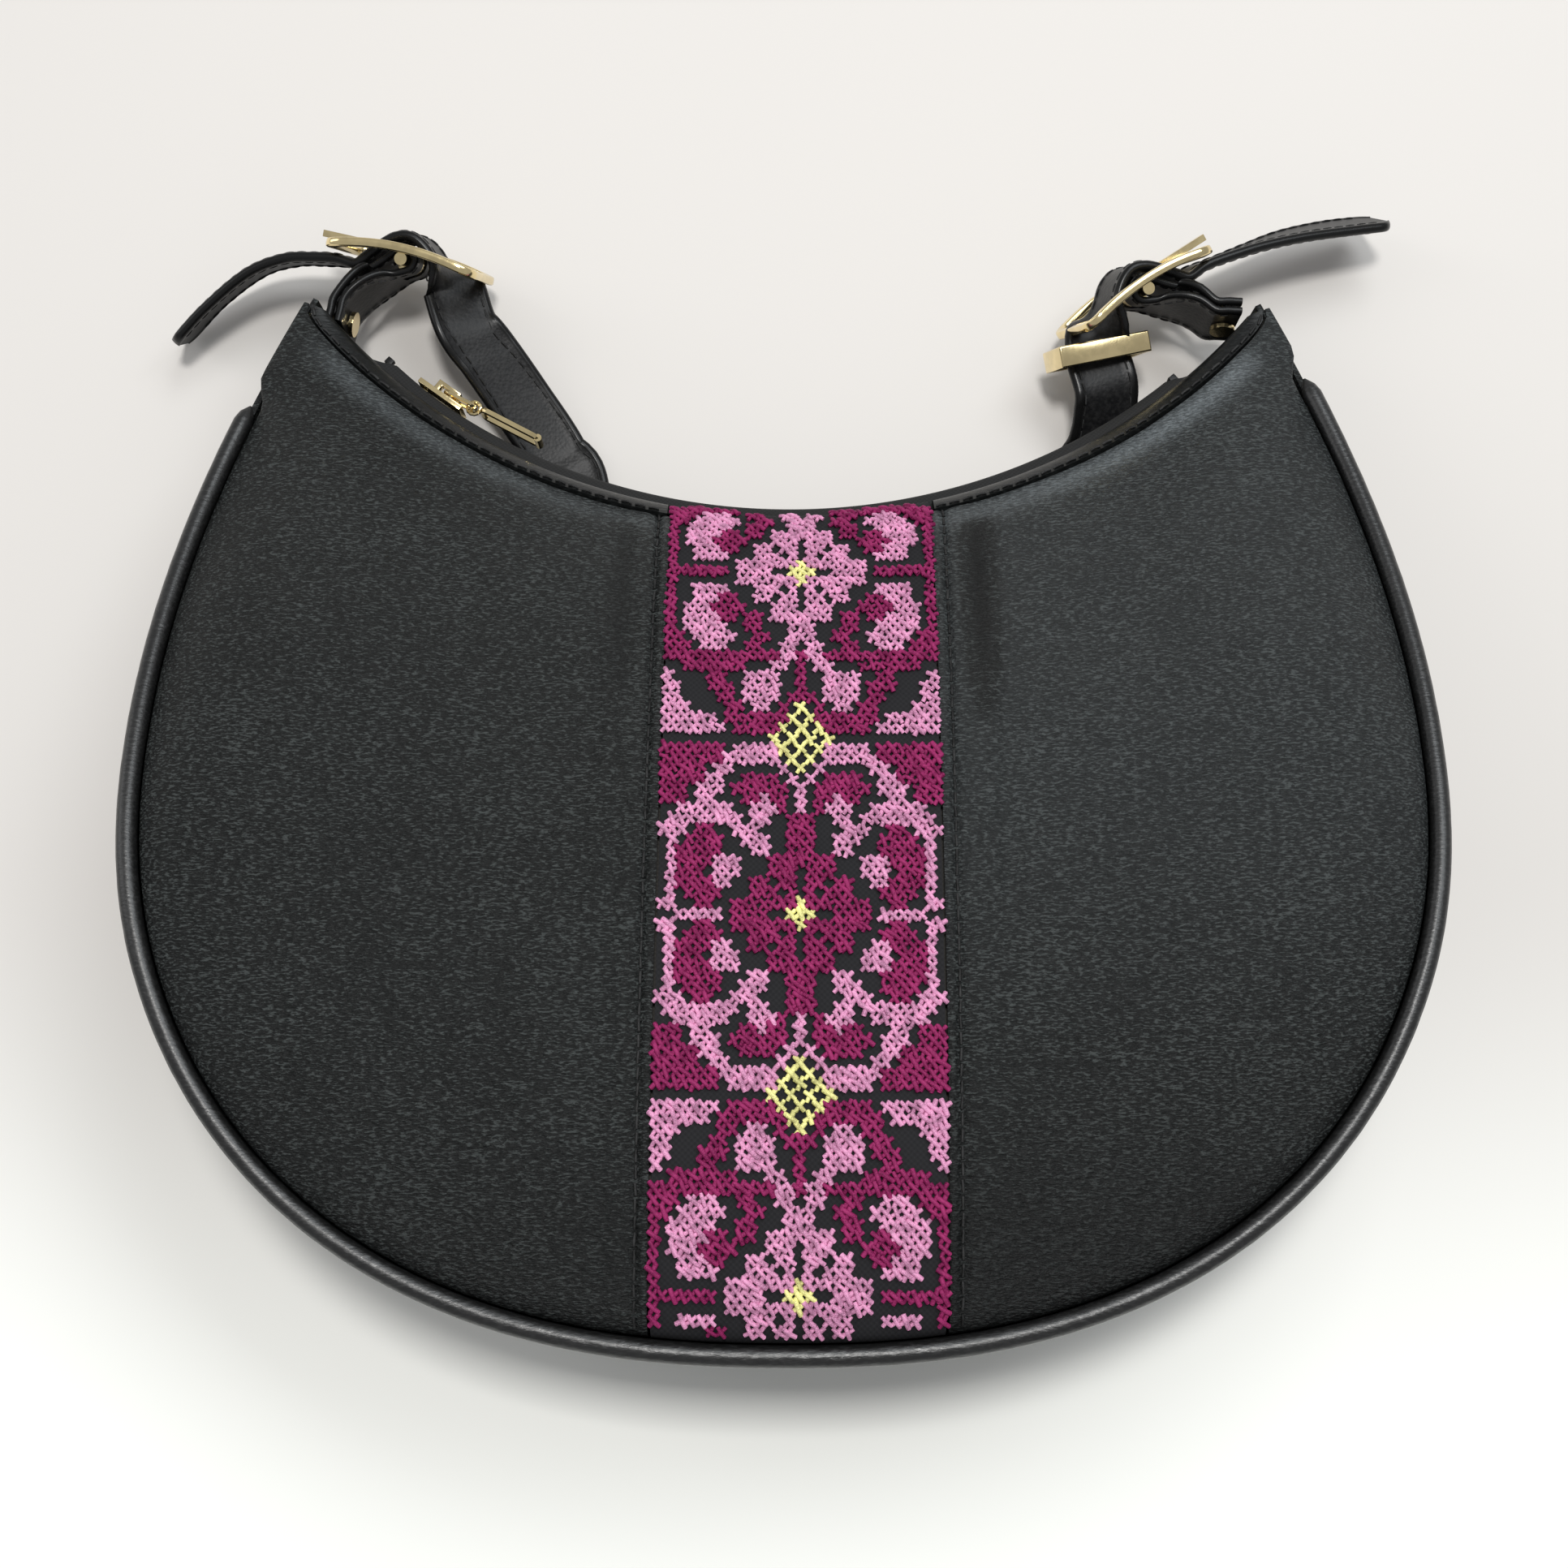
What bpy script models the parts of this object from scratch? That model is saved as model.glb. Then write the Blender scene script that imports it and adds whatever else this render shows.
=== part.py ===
"""Half moon shoulder bag, lying on its back: black leather, one embroidered strip, a zip and two buckles.

Metres, +Z up out of the front of the bag, +Y towards the mouth and the horns, +X to the right.
Every piece is a child of one empty, which moves the middle of the outer box to the world's origin.
"""

import math

import bmesh
import bpy
import numpy as np
from mathutils import Matrix, Vector

# Clearances
TOUCH_GAP = 0.0003
SEAM_GAP = 0.0006
STRETCH_GAP = 0.0008
RUN_GAP = 0.0004
CUT_OVERRUN = 0.004

# Middle of the outer box, seen from above
MIDDLE_X = -0.0010
MIDDLE_Y = 0.0196

# Outline over the front piping
HALF_WIDTH = 0.1386
WIDEST_Y = 0.012
BOTTOM_DEPTH = 0.129
BOTTOM_POWER_share = 2.35
SIDE_HEIGHT = 0.191
HORN_INSET = 0.0248

# Mouth, an arc between the horns: how far in its ends stand, how deep it dips, and where they are
MOUTH_END_INSET = 0.0306
MOUTH_DEPTH = 0.048753
MOUTH_END_Y = 0.118753

# Heights of the two rims and of the two mouth edges above the table
FRONT_RIM_LOW = 0.065
FRONT_RIM_HORN = 0.032
BACK_RIM_LOW = 0.0024
BACK_RIM_HORN = 0.0045
RIM_TURN_Y = -0.040
RIM_TOP_Y = 0.121
MOUTH_FRONT_MIDDLE = 0.0275
MOUTH_FRONT_HORN = 0.0310
MOUTH_BACK_MIDDLE = 0.0120
MOUTH_BACK_HORN = 0.0052
MOUTH_SPREAD_POWER_share = 6.0

# Embroidered strip
STRIP_WIDTH = 0.059
STRIP_OFFSET = 0.0035

# Lines that the panels are drawn with: across a panel, across the strip, and from the rim to the mouth
PANEL_LINE_shares = (0.11, 0.17, 0.24, 0.32, 0.41, 0.50, 0.60, 0.70, 0.80, 0.90)
STRIP_LINE_shares = (0.25, 0.50, 0.75)
FRONT_shares = (0.0, 0.02, 0.06, 0.13, 0.24, 0.38, 0.54, 0.70, 0.84, 0.93, 0.975, 1.0)
BACK_shares = (0.0, 0.03, 0.08, 0.17, 0.21, 0.25, 0.29, 0.45, 0.62, 0.75, 0.88, 1.0)
LINING_BACK_shares = (0.15, 0.17, 0.21, 0.25, 0.29, 0.45, 0.62, 0.75, 0.88)
LINING_SKIPPED_ROWS = 1
LINING_SKIPPED_LINES = 5
GUSSET_shares = (0.0, 0.33, 0.67, 1.0)
GUSSET_LINES = 49
FACING_START_LEAST_share = 0.35
OUTLINE_LOW_POINTS = 400
OUTLINE_HIGH_POINTS = 160
CURVE_STEPS = 24

# Roundness, and how near two points are one
WELD_DISTANCE = 0.00001
SMOOTH_UNDER_DEG = 40.0
ROUND_SIDES = 20
SMALL_ROUND_SIDES = 12
CORD_ROUND_STEPS = 2

# Leather, lining and piping
PANEL_THICK = 0.0020
PANEL_DROP = 0.0005
GUSSET_THICK = 0.0014
GUSSET_INSET = 0.0015
FACING_THICK = 0.0014
FACING_WIDTH = 0.0040
FACING_TURN = 0.0015
FACING_TURN_OUT = 0.0002
LINING_THICK = 0.0008
LINING_GAP = 0.0007
PIPING_RADIUS = 0.0022
PIPING_INSET = 0.0023
PIPING_END_LEFT = 0.094
PIPING_END_RIGHT = 0.103
PIPING_SPACING = 0.0085
HORN_EDGE_INSET = 0.0010
HORN_EDGE_RUN = 0.008
HORN_WRAP_OUT = 0.0022
FRONT_CROWN_share = 0.10
FRONT_CROWN_POWER_share = 0.5

# Back panel: a flat band to lie on, and a hollow that the strap lies in
BACK_EDGE_RISE = 0.0008
BACK_HOLLOW = 0.0042
BACK_BAND_shares = (0.08, 0.17)
BACK_HOLLOW_FULL_share = 0.29
HOLLOW_NONE_LENGTH = 0.040
HOLLOW_FULL_LENGTH = 0.110
BACK_LIFT_share = 0.62
BACK_LIFT_SHORT_share = 0.30

# Inner pocket, sewn to the back of the lining
POCKET_HALF = 0.060
POCKET_LOW_Y = -0.060
POCKET_HIGH_Y = 0.004
POCKET_THICK = 0.0008
POCKET_STAND = 0.0010
POCKET_COLUMNS = 9
POCKET_ROWS = 5

# Zip
ZIP_HEIGHT = 0.01975
ZIP_LEFT_share = -0.8438
ZIP_RIGHT_share = 0.8232
CHAIN_OUT = 0.0032
CHAIN_THICK = 0.0016
CHAIN_HALF = 0.0024
CHAIN_SPLIT = 0.00015
CHAIN_SPREAD = 0.0030
TAPE_THICK = 0.0005
TAPE_TUCK = 0.0014
TAPE_DROP = 0.0022
TAPE_BEND_shares = (0.0, 0.04, 0.45, 1.0)
ZIP_LINES = 33
STOP_LENGTH = 0.0030
STOP_WALL = 0.0006
SLIDER_share = -0.7409
SLIDER_LENGTH = 0.0124
SLIDER_HALF_WIDTH = 0.0036
SLIDER_PLATE = 0.0012
SLIDER_POST_LENGTH = 0.0024
SLIDER_POST_WIDTH = 0.0016
BRIDGE_LENGTH = 0.0064
BRIDGE_LEG = 0.0014
BRIDGE_HEIGHT = 0.0029
BRIDGE_TOP = 0.0010
BRIDGE_WIDTH = 0.0022
LINK_WIRE = 0.0011
LINK_LENGTH = 0.0076
LINK_TILT_DEG = 9.0
PULL_WIRE = 0.0015
PULL_LENGTH = 0.0150
PULL_HALF_WIDTH = 0.0024
PULL_NECK = 0.0026
PULL_EYE_THICK = 0.0011
PULL_KNOB_RADIUS = 0.0019
PULL_TILT_DEG = 8.0

# Buckles: the middle of each centre bar, and the way along the frame towards its outer end
BUCKLE_HEIGHT = 0.0190
LEFT_BUCKLE_INSET = 0.0172
LEFT_BUCKLE_Y = 0.1370
LEFT_ALONG_DEG = 166.9
RIGHT_BUCKLE_INSET = 0.0246
RIGHT_BUCKLE_Y = 0.1301
RIGHT_ALONG_DEG = 34.3
BUCKLE_LEAN_DEG = 22.0
FRAME_HALF_LENGTH = 0.0185
FRAME_HALF_HEIGHT = 0.0130
FRAME_RAIL_WIDTH = 0.0028
FRAME_RAIL_THICK = 0.0022
FRAME_BOW = 0.0024
FRAME_CORNER = 0.0030
FRAME_BEVEL = 0.0004
FRAME_BOW_POINTS = 9
BAR_RADIUS = 0.0015
PRONG_RING_WIDTH = 0.0026
PRONG_RING_WALL = 0.0012
PRONG_ARM_WIDTH = 0.0022
PRONG_ARM_THICK = 0.0016
PRONG_TIP = 0.0222
PRONG_HOLE_HALF = 0.0018
PRONG_HOLE_LIFT = 0.0012

# Strap and tabs
STRAP_WIDTH = 0.0160
STRAP_THICK = 0.0024
TAB_WIDTH = 0.0165
TAB_THICK = 0.0018
HUMP_HEIGHT = 0.0057
STRAP_FLAT_HEIGHT = 0.0019
RIVET_RADIUS = 0.0016
RIVET_HEAD_RADIUS = 0.0030
RIVET_HEAD_THICK = 0.0010

# Keeper on the right leg of the strap
KEEPER_WALL = 0.0011
KEEPER_LENGTH = 0.0050
KEEPER_PLAY = 0.0024
KEEPER_HEIGHT_PLAY = 0.0037
KEEPER_AT_shares = (-0.80, -0.40)

# Routes beside a buckle, in shares of the frame's half length: along, out and up,
# and then the turn of the strap's width in degrees
LEFT_TAIL_shares = (
    (2.57, -1.55, 0.00, 0.0),
    (2.31, -1.05, 0.00, 0.0),
    (1.93, -0.53, 0.00, 0.0),
    (1.55, -0.31, 0.00, 0.0),
    (1.20, -0.22, 0.00, 0.0),
    (0.89, -0.17, 0.00, 0.0),
)
RIGHT_TAIL_shares = (
    (0.89, -0.17, 0.00, 0.0),
    (1.25, -0.22, 0.00, 0.0),
    (1.70, -0.29, 0.00, 0.0),
    (2.22, -0.37, 0.00, 0.0),
    (2.75, -0.56, 0.00, 0.0),
    (3.25, -0.81, 0.00, 0.0),
)
HUMP_HALF_WAVE_share = 0.89
HUMP_shares = (0.62, 0.50, 0.36, 0.18, 0.0, -0.18, -0.36)
LEFT_RUN_shares = (
    (-0.46, -0.03, 0.00, 14.0),
    (-0.54, -0.12, 0.00, 40.0),
    (-0.63, -0.23, 0.00, 66.0),
)
RIGHT_RUN_shares = (
    (-0.46, -0.03, 0.00, 14.0),
    (-0.55, -0.12, 0.00, 40.0),
    (-0.66, -0.20, 0.00, 68.0),
    (-0.77, -0.31, 0.00, 86.0),
    (-0.84, -0.46, 0.00, 90.0),
)
TAB_OUTER_shares = ((0.60, -0.54), (0.46, -0.27), (0.25, -0.045))
TAB_INNER_shares = ((0.06, -0.20), (0.30, -0.42), (0.50, -0.66))
TAB_WRAP_DEG = (55.0, 95.0, 135.0, 175.0, 215.0, 250.0)
TAB_UPRIGHT_share = -0.62
TAB_LEANED_share = -0.15

# Where a tab's stem starts and ends, along its buckle's frame and out of it
LEFT_TAB_ROOT = ((0.01203, -0.01591), (0.01184, -0.02183))
RIGHT_TAB_ROOT = ((0.01147, -0.01554), (0.01628, -0.01924))

# The leather strap away from the buckles, point by point: place of its middle line and the way of its width.
# X is counted from the mouth's end on that side.
LEFT_LEG = (
    ((0.0308, 0.1215, 0.0168), (-0.92, 0.02, 0.34)),
    ((0.0358, 0.1155, 0.0138), (-0.90, -0.14, 0.32)),
    ((0.0435, 0.1055, 0.0086), (-0.88, -0.38, 0.22)),
    ((0.0518, 0.0935, 0.0040), (-0.87, -0.48, 0.08)),
    ((0.0575, 0.0800, 0.0019), (-0.94, -0.34, 0.0)),
)
RIGHT_LEG = (
    ((-0.0310, 0.1080, 0.0146), (0.90, 0.42, 0.0)),
    ((-0.0308, 0.1035, 0.0117), (0.95, 0.30, 0.0)),
    ((-0.0308, 0.0990, 0.0080), (0.98, 0.20, 0.0)),
    ((-0.0310, 0.0945, 0.0046), (0.99, 0.10, 0.0)),
    ((-0.0317, 0.0880, 0.0026), (1.0, 0.05, 0.0)),
    ((-0.0328, 0.0790, 0.0019), (1.0, 0.0, 0.0)),
)
LOOP_TURN_Y = 0.010
LOOP_TURN_POINTS = 8
STRAP_STEP = 0.001
BUCKLE_SPACING = 0.0022
BEND_SPACING = 0.0022
LOOP_SPACING = 0.0090
TAB_SPACING = 0.0016
PRONG_HOLE_END_share = 0.60

LEATHER = ("black_leather", (0.012, 0.012, 0.012), 0.42, 0.0)
STRAP_LEATHER = ("strap_leather", (0.008, 0.008, 0.008), 0.32, 0.0)
EMBROIDERY = ("embroidery", (0.24, 0.02, 0.12), 0.80, 0.0)
PIPING_LEATHER = ("piping_leather", (0.008, 0.008, 0.008), 0.30, 0.0)
LINING_CLOTH = ("lining_cloth", (0.030, 0.028, 0.026), 0.85, 0.0)
TAPE_CLOTH = ("zip_tape", (0.010, 0.010, 0.010), 0.75, 0.0)
GOLD = ("gold_metal", (0.83, 0.66, 0.33), 0.18, 1.0)


def clear_scene():
    """Removes what a new scene holds."""
    for thing in list(bpy.context.scene.objects):
        bpy.data.objects.remove(thing, do_unlink=True)


def collection_named(name):
    """A collection in the scene, made if it is missing."""
    found = bpy.data.collections.get(name)
    if found is None:
        found = bpy.data.collections.new(name)
        bpy.context.scene.collection.children.link(found)
    return found


def material_for(look):
    """The Principled material of a look: name, colour, roughness and metallic value."""
    name, colour, roughness, metallic = look
    material = bpy.data.materials.get(name)
    if material is None:
        material = bpy.data.materials.new(name)
        material.use_nodes = True
        shader = material.node_tree.nodes["Principled BSDF"]
        shader.inputs["Base Color"].default_value = (*colour, 1.0)
        shader.inputs["Roughness"].default_value = roughness
        shader.inputs["Metallic"].default_value = metallic
        material.diffuse_color = (*colour, 1.0)
    return material


def add_piece(name, mesh, look):
    """A named piece of the bag under the bag's empty."""
    piece = bpy.data.objects.new(name, mesh)
    mesh.materials.clear()
    mesh.materials.append(material_for(look))
    collection_named("half_moon_bag").objects.link(piece)
    piece.parent = bpy.data.objects["bag_middle"]
    return piece


def add_cutter(name, mesh):
    """A hidden solid that a Boolean reads."""
    cutter = bpy.data.objects.new(name, mesh)
    collection_named("cutters").objects.link(cutter)
    cutter.parent = bpy.data.objects["bag_middle"]
    cutter.hide_render = True
    cutter.display_type = "WIRE"
    return cutter


def cut(piece, cutter, operation="DIFFERENCE"):
    """Adds an exact Boolean to a piece."""
    boolean = piece.modifiers.new(operation.lower(), "BOOLEAN")
    boolean.operation = operation
    boolean.solver = "EXACT"
    boolean.object = cutter


def bevel_edges(piece, width, segments=2):
    """Rounds the sharp edges of a piece."""
    bevel = piece.modifiers.new("rounded_edges", "BEVEL")
    bevel.width = width
    bevel.segments = segments
    bevel.limit_method = "ANGLE"


def move_origin(piece, place):
    """Puts a piece's origin on its joint's axis and leaves its shape where it was."""
    piece.data.transform(Matrix.Translation(-Vector(place)))
    piece.location = place


def smooth_step(low, high, value):
    """0 below low, 1 above high, and an even ease between."""
    share = min(1.0, max(0.0, (value - low) / (high - low)))
    return share * share * (3.0 - 2.0 * share)


def mixed(first, second, share):
    return first + (second - first) * share


def grid_mesh(name, grid, closed=False):
    """A mesh of quads over rows of points. With closed, the last row joins the first."""
    rows, columns = grid.shape[:2]
    points = [tuple(point) for row in grid for point in row]
    faces = []
    for row in range(rows if closed else rows - 1):
        below = (row + 1) % rows
        for column in range(columns - 1):
            corners = (row * columns + column, row * columns + column + 1)
            faces.append((*corners, below * columns + column + 1, below * columns + column))
    mesh = bpy.data.meshes.new(name)
    mesh.from_pydata(points, [], faces)
    mesh.shade_smooth()
    return mesh


def sheet(name, grid, thickness, look, offset=-1.0):
    """An open surface with a thickness. With offset -1 the grid is its outer face."""
    piece = add_piece(name, grid_mesh(name, grid), look)
    shell = piece.modifiers.new("thickness", "SOLIDIFY")
    shell.thickness = thickness
    shell.offset = offset
    shell.use_even_offset = True
    return piece


def tube(name, points, radius, look, cyclic=False):
    """A round wire or cord through points."""
    curve = bpy.data.curves.new(name, "CURVE")
    curve.dimensions = "3D"
    curve.bevel_depth = radius
    curve.bevel_resolution = CORD_ROUND_STEPS
    curve.use_fill_caps = not cyclic
    spline = curve.splines.new("POLY")
    spline.points.add(len(points) - 1)
    spline.use_cyclic_u = cyclic
    for knot, point in zip(spline.points, points):
        knot.co = (*point, 1.0)
    piece = bpy.data.objects.new(name, curve)
    curve.materials.append(material_for(look))
    collection_named("half_moon_bag").objects.link(piece)
    piece.parent = bpy.data.objects["bag_middle"]
    return piece


def mesh_of_curve(piece):
    """The curve's solid as a mesh with welded caps. The curve itself is removed."""
    graph = bpy.context.evaluated_depsgraph_get()
    mesh = bpy.data.meshes.new_from_object(piece.evaluated_get(graph))
    bpy.data.objects.remove(piece, do_unlink=True)
    work = bmesh.new()
    work.from_mesh(mesh)
    bmesh.ops.remove_doubles(work, verts=work.verts, dist=WELD_DISTANCE)
    bmesh.ops.recalc_face_normals(work, faces=work.faces)
    work.to_mesh(mesh)
    work.free()
    return mesh


def box_mesh(name, low, high, frame):
    """A box between two corners given in a frame of three ways and a place."""
    work = bmesh.new()
    bmesh.ops.create_cube(work, size=1.0)
    size = Vector(high) - Vector(low)
    middle = (Vector(high) + Vector(low)) / 2.0
    bmesh.ops.transform(work, matrix=Matrix.Diagonal((*size, 1.0)), verts=work.verts)
    bmesh.ops.transform(work, matrix=frame @ Matrix.Translation(middle), verts=work.verts)
    bmesh.ops.recalc_face_normals(work, faces=work.faces)
    mesh = bpy.data.meshes.new(name)
    work.to_mesh(mesh)
    work.free()
    return mesh


def cylinder_mesh(name, radius, start, end, segments=ROUND_SIDES):
    """A closed cylinder between two places."""
    start, end = Vector(start), Vector(end)
    way = end - start
    work = bmesh.new()
    bmesh.ops.create_cone(
        work, cap_ends=True, segments=segments, radius1=radius, radius2=radius, depth=way.length
    )
    turn = way.to_track_quat("Z", "Y").to_matrix().to_4x4()
    bmesh.ops.transform(
        work, matrix=Matrix.Translation((start + end) / 2.0) @ turn, verts=work.verts
    )
    mesh = bpy.data.meshes.new(name)
    work.to_mesh(mesh)
    work.free()
    mesh.shade_smooth()
    mesh.set_sharp_from_angle(angle=math.radians(SMOOTH_UNDER_DEG))
    return mesh


def curve_through(knots, spacing):
    """Points at an even spacing on a smooth curve through knots of any dimension."""
    knots = np.asarray(knots, float)
    padded = np.vstack([2 * knots[0] - knots[1], knots, 2 * knots[-1] - knots[-2]])
    fine = []
    for index in range(len(knots) - 1):
        before, start, end, after = padded[index : index + 4]
        for t in np.linspace(0.0, 1.0, CURVE_STEPS, endpoint=False):
            fine.append(
                0.5
                * (
                    2 * start
                    + (end - before) * t
                    + (2 * before - 5 * start + 4 * end - after) * t**2
                    + (3 * start - before - 3 * end + after) * t**3
                )
            )
    fine.append(knots[-1])
    fine = np.array(fine)
    run = np.concatenate([[0.0], np.cumsum(np.linalg.norm(np.diff(fine[:, :3], axis=0), axis=1))])
    count = max(2, round(run[-1] / spacing) + 1)
    places = np.linspace(0.0, run[-1], count)
    return np.column_stack([np.interp(places, run, fine[:, axis]) for axis in range(fine.shape[1])])


HORN_HALF = HALF_WIDTH - HORN_INSET
MOUTH_HALF = HALF_WIDTH - MOUTH_END_INSET


def outline():
    """The bag's silhouette from the left horn round the bottom to the right horn, finely stepped."""
    turn = np.linspace(0.0, math.pi / 2.0, OUTLINE_LOW_POINTS)
    low_x = HALF_WIDTH * np.cos(turn) ** (2.0 / BOTTOM_POWER_share)
    low_y = WIDEST_Y - BOTTOM_DEPTH * np.sin(turn) ** (2.0 / BOTTOM_POWER_share)
    rise = SIDE_HEIGHT * math.sqrt(1.0 - (HORN_HALF / HALF_WIDTH) ** 2)
    high_y = np.linspace(rise, 0.0, OUTLINE_HIGH_POINTS, endpoint=False)
    high_x = HALF_WIDTH * np.sqrt(1.0 - (high_y / SIDE_HEIGHT) ** 2)
    right = np.column_stack(
        [np.concatenate([high_x, low_x]), np.concatenate([high_y + WIDEST_Y, low_y])]
    )
    left = right * (-1.0, 1.0)
    return np.vstack([left, right[::-1][1:]])


OUTLINE = outline()
OUTLINE_RUN = np.concatenate(
    [[0.0], np.cumsum(np.linalg.norm(np.diff(OUTLINE, axis=0), axis=1))]
)
BOTTOM_HALF = len(OUTLINE) // 2


def rim_run_at_x(x):
    """How far along the outline its lower side has this x."""
    lower = OUTLINE[:, 1] < WIDEST_Y
    return float(np.interp(x, OUTLINE[lower][:, 0], OUTLINE_RUN[lower]))


def rim_run_at_y(y, side):
    """How far along the outline one of its flanks has this y. Side is -1 for left, 1 for right."""
    half = OUTLINE[: BOTTOM_HALF + 1] if side < 0 else OUTLINE[BOTTOM_HALF:]
    runs = OUTLINE_RUN[: BOTTOM_HALF + 1] if side < 0 else OUTLINE_RUN[BOTTOM_HALF:]
    order = np.argsort(half[:, 1])
    return float(np.interp(y, half[order][:, 1], runs[order]))


def rim_point(run, inset):
    """A place on the outline moved inwards, square to it."""
    step = HORN_EDGE_INSET
    place = np.array([np.interp(run, OUTLINE_RUN, OUTLINE[:, axis]) for axis in (0, 1)])
    low = np.clip(run - step, 0.0, OUTLINE_RUN[-1])
    high = np.clip(run + step, 0.0, OUTLINE_RUN[-1])
    ends = [
        np.array([np.interp(at, OUTLINE_RUN, OUTLINE[:, axis]) for axis in (0, 1)])
        for at in (low, high)
    ]
    along = (ends[1] - ends[0]) / np.linalg.norm(ends[1] - ends[0])
    return place + inset * np.array([-along[1], along[0]])


def front_rim_height(y):
    return mixed(FRONT_RIM_LOW, FRONT_RIM_HORN, smooth_step(RIM_TURN_Y, RIM_TOP_Y, y))


def back_rim_height(y):
    return mixed(BACK_RIM_LOW, BACK_RIM_HORN, smooth_step(RIM_TURN_Y, RIM_TOP_Y, y))


def panel_inset(place):
    """How far the panels' edge lies inside the outline: beside the piping, or near it at the horns."""
    end = PIPING_END_LEFT if place[0] < 0.0 else PIPING_END_RIGHT
    beside = PIPING_INSET + PIPING_RADIUS + TOUCH_GAP
    return mixed(beside, HORN_EDGE_INSET, smooth_step(end, end + HORN_EDGE_RUN, place[1]))


MOUTH_RADIUS = (MOUTH_HALF**2 + MOUTH_DEPTH**2) / (2.0 * MOUTH_DEPTH)
MOUTH_CENTRE_Y = MOUTH_END_Y - MOUTH_DEPTH + MOUTH_RADIUS
STRIP_LEFT = STRIP_OFFSET - STRIP_WIDTH / 2.0
STRIP_RIGHT = STRIP_OFFSET + STRIP_WIDTH / 2.0
RIM_MARKS = (0.0, rim_run_at_x(STRIP_LEFT), rim_run_at_x(STRIP_RIGHT), OUTLINE_RUN[-1])
MOUTH_LIMIT = math.asin(MOUTH_HALF / MOUTH_RADIUS)
MOUTH_MARKS = (
    -MOUTH_LIMIT,
    math.asin(STRIP_LEFT / MOUTH_RADIUS),
    math.asin(STRIP_RIGHT / MOUTH_RADIUS),
    MOUTH_LIMIT,
)
ZIP_LEFT = ZIP_LEFT_share * MOUTH_LIMIT
ZIP_RIGHT = ZIP_RIGHT_share * MOUTH_LIMIT
SLIDER_ANGLE = SLIDER_share * MOUTH_LIMIT


def mouth_point(angle, out=0.0):
    """A place on the mouth's arc, moved out of the bag by a distance. Angle 0 is the middle."""
    radius = MOUTH_RADIUS - out
    return np.array([radius * math.sin(angle), MOUTH_CENTRE_Y - radius * math.cos(angle)])


def mouth_height(angle, middle, horn):
    return mixed(middle, horn, abs(angle / MOUTH_LIMIT) ** MOUTH_SPREAD_POWER_share)


def station(position):
    """Rim place and mouth angle that a line of the panels joins.

    0 to 1 is the left panel, 1 to 2 the strip and 2 to 3 the right panel.
    """
    part = min(2, int(position))
    share = position - part
    run = mixed(RIM_MARKS[part], RIM_MARKS[part + 1], share)
    angle = mixed(MOUTH_MARKS[part], MOUTH_MARKS[part + 1], share)
    edge = rim_point(run, panel_inset(rim_point(run, 0.0)))
    return edge, angle


def line_length(position):
    edge, angle = station(position)
    return float(np.linalg.norm(edge - mouth_point(angle)))


def front_point(position, share):
    """The front's outer face. Share 0 is the rim, share 1 the mouth's edge."""
    edge, angle = station(position)
    place = mixed(edge, mouth_point(angle), share)
    low = front_rim_height(edge[1]) - PANEL_DROP
    high = mouth_height(angle, MOUTH_FRONT_MIDDLE, MOUTH_FRONT_HORN)
    swell = math.sin(math.pi * share) ** FRONT_CROWN_POWER_share if 0.0 < share < 1.0 else 0.0
    crown = FRONT_CROWN_share * line_length(position) * swell
    return np.array([place[0], place[1], mixed(low, high, share) + crown])


def back_point(position, share):
    """The back's outer face, which lies on the table in a band inside the rim."""
    edge, angle = station(position)
    place = mixed(edge, mouth_point(angle), share)
    low = back_rim_height(edge[1]) - BACK_RIM_LOW + BACK_EDGE_RISE
    high = mouth_height(angle, MOUTH_BACK_MIDDLE, MOUTH_BACK_HORN)
    band_start, band_end = BACK_BAND_shares
    long_line = smooth_step(HOLLOW_NONE_LENGTH, HOLLOW_FULL_LENGTH, line_length(position))
    hollow = BACK_HOLLOW * long_line
    height = low * (1.0 - smooth_step(0.0, band_start, share))
    height += hollow * smooth_step(band_end, BACK_HOLLOW_FULL_share, share)
    lift_start = mixed(BACK_LIFT_SHORT_share, BACK_LIFT_share, long_line)
    lift = max(0.0, (share - lift_start) / (1.0 - lift_start))
    height += (high - hollow) * lift**2
    return np.array([place[0], place[1], height])


def facing_share(position):
    """Where a line meets the seam of the facing band."""
    return max(FACING_START_LEAST_share, 1.0 - FACING_WIDTH / line_length(position))


def surface_grid(point_at, positions, shares):
    """Rows across the bag, columns from rim to mouth. Shares run 0 to 1 up to each line's own seam."""
    rows = []
    for position in positions:
        rows.append([point_at(position, share) for share in shares(position)])
    return np.array(rows)


def offset_grid(grid, distance):
    """The grid moved along its own normals."""
    across = np.gradient(grid, axis=0)
    along = np.gradient(grid, axis=1)
    normal = np.cross(across, along)
    normal /= np.linalg.norm(normal, axis=2, keepdims=True)
    return grid + normal * distance


def panel_positions(side):
    """Where the lines of one side's panel stand, closer together where its edge leaves the piping."""
    end = PIPING_END_LEFT if side < 0 else PIPING_END_RIGHT
    marks = [rim_run_at_y(y, side) for y in (end, end + HORN_EDGE_RUN / 2.0, end + HORN_EDGE_RUN)]
    first, last = (0, 1) if side < 0 else (2, 3)
    span = RIM_MARKS[last] - RIM_MARKS[first]
    near = [first + (mark - RIM_MARKS[first]) / span for mark in marks]
    inner = PANEL_LINE_shares if side < 0 else [1.0 - share for share in PANEL_LINE_shares]
    return sorted([float(first), float(last), *near, *(first + share for share in inner)])


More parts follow.
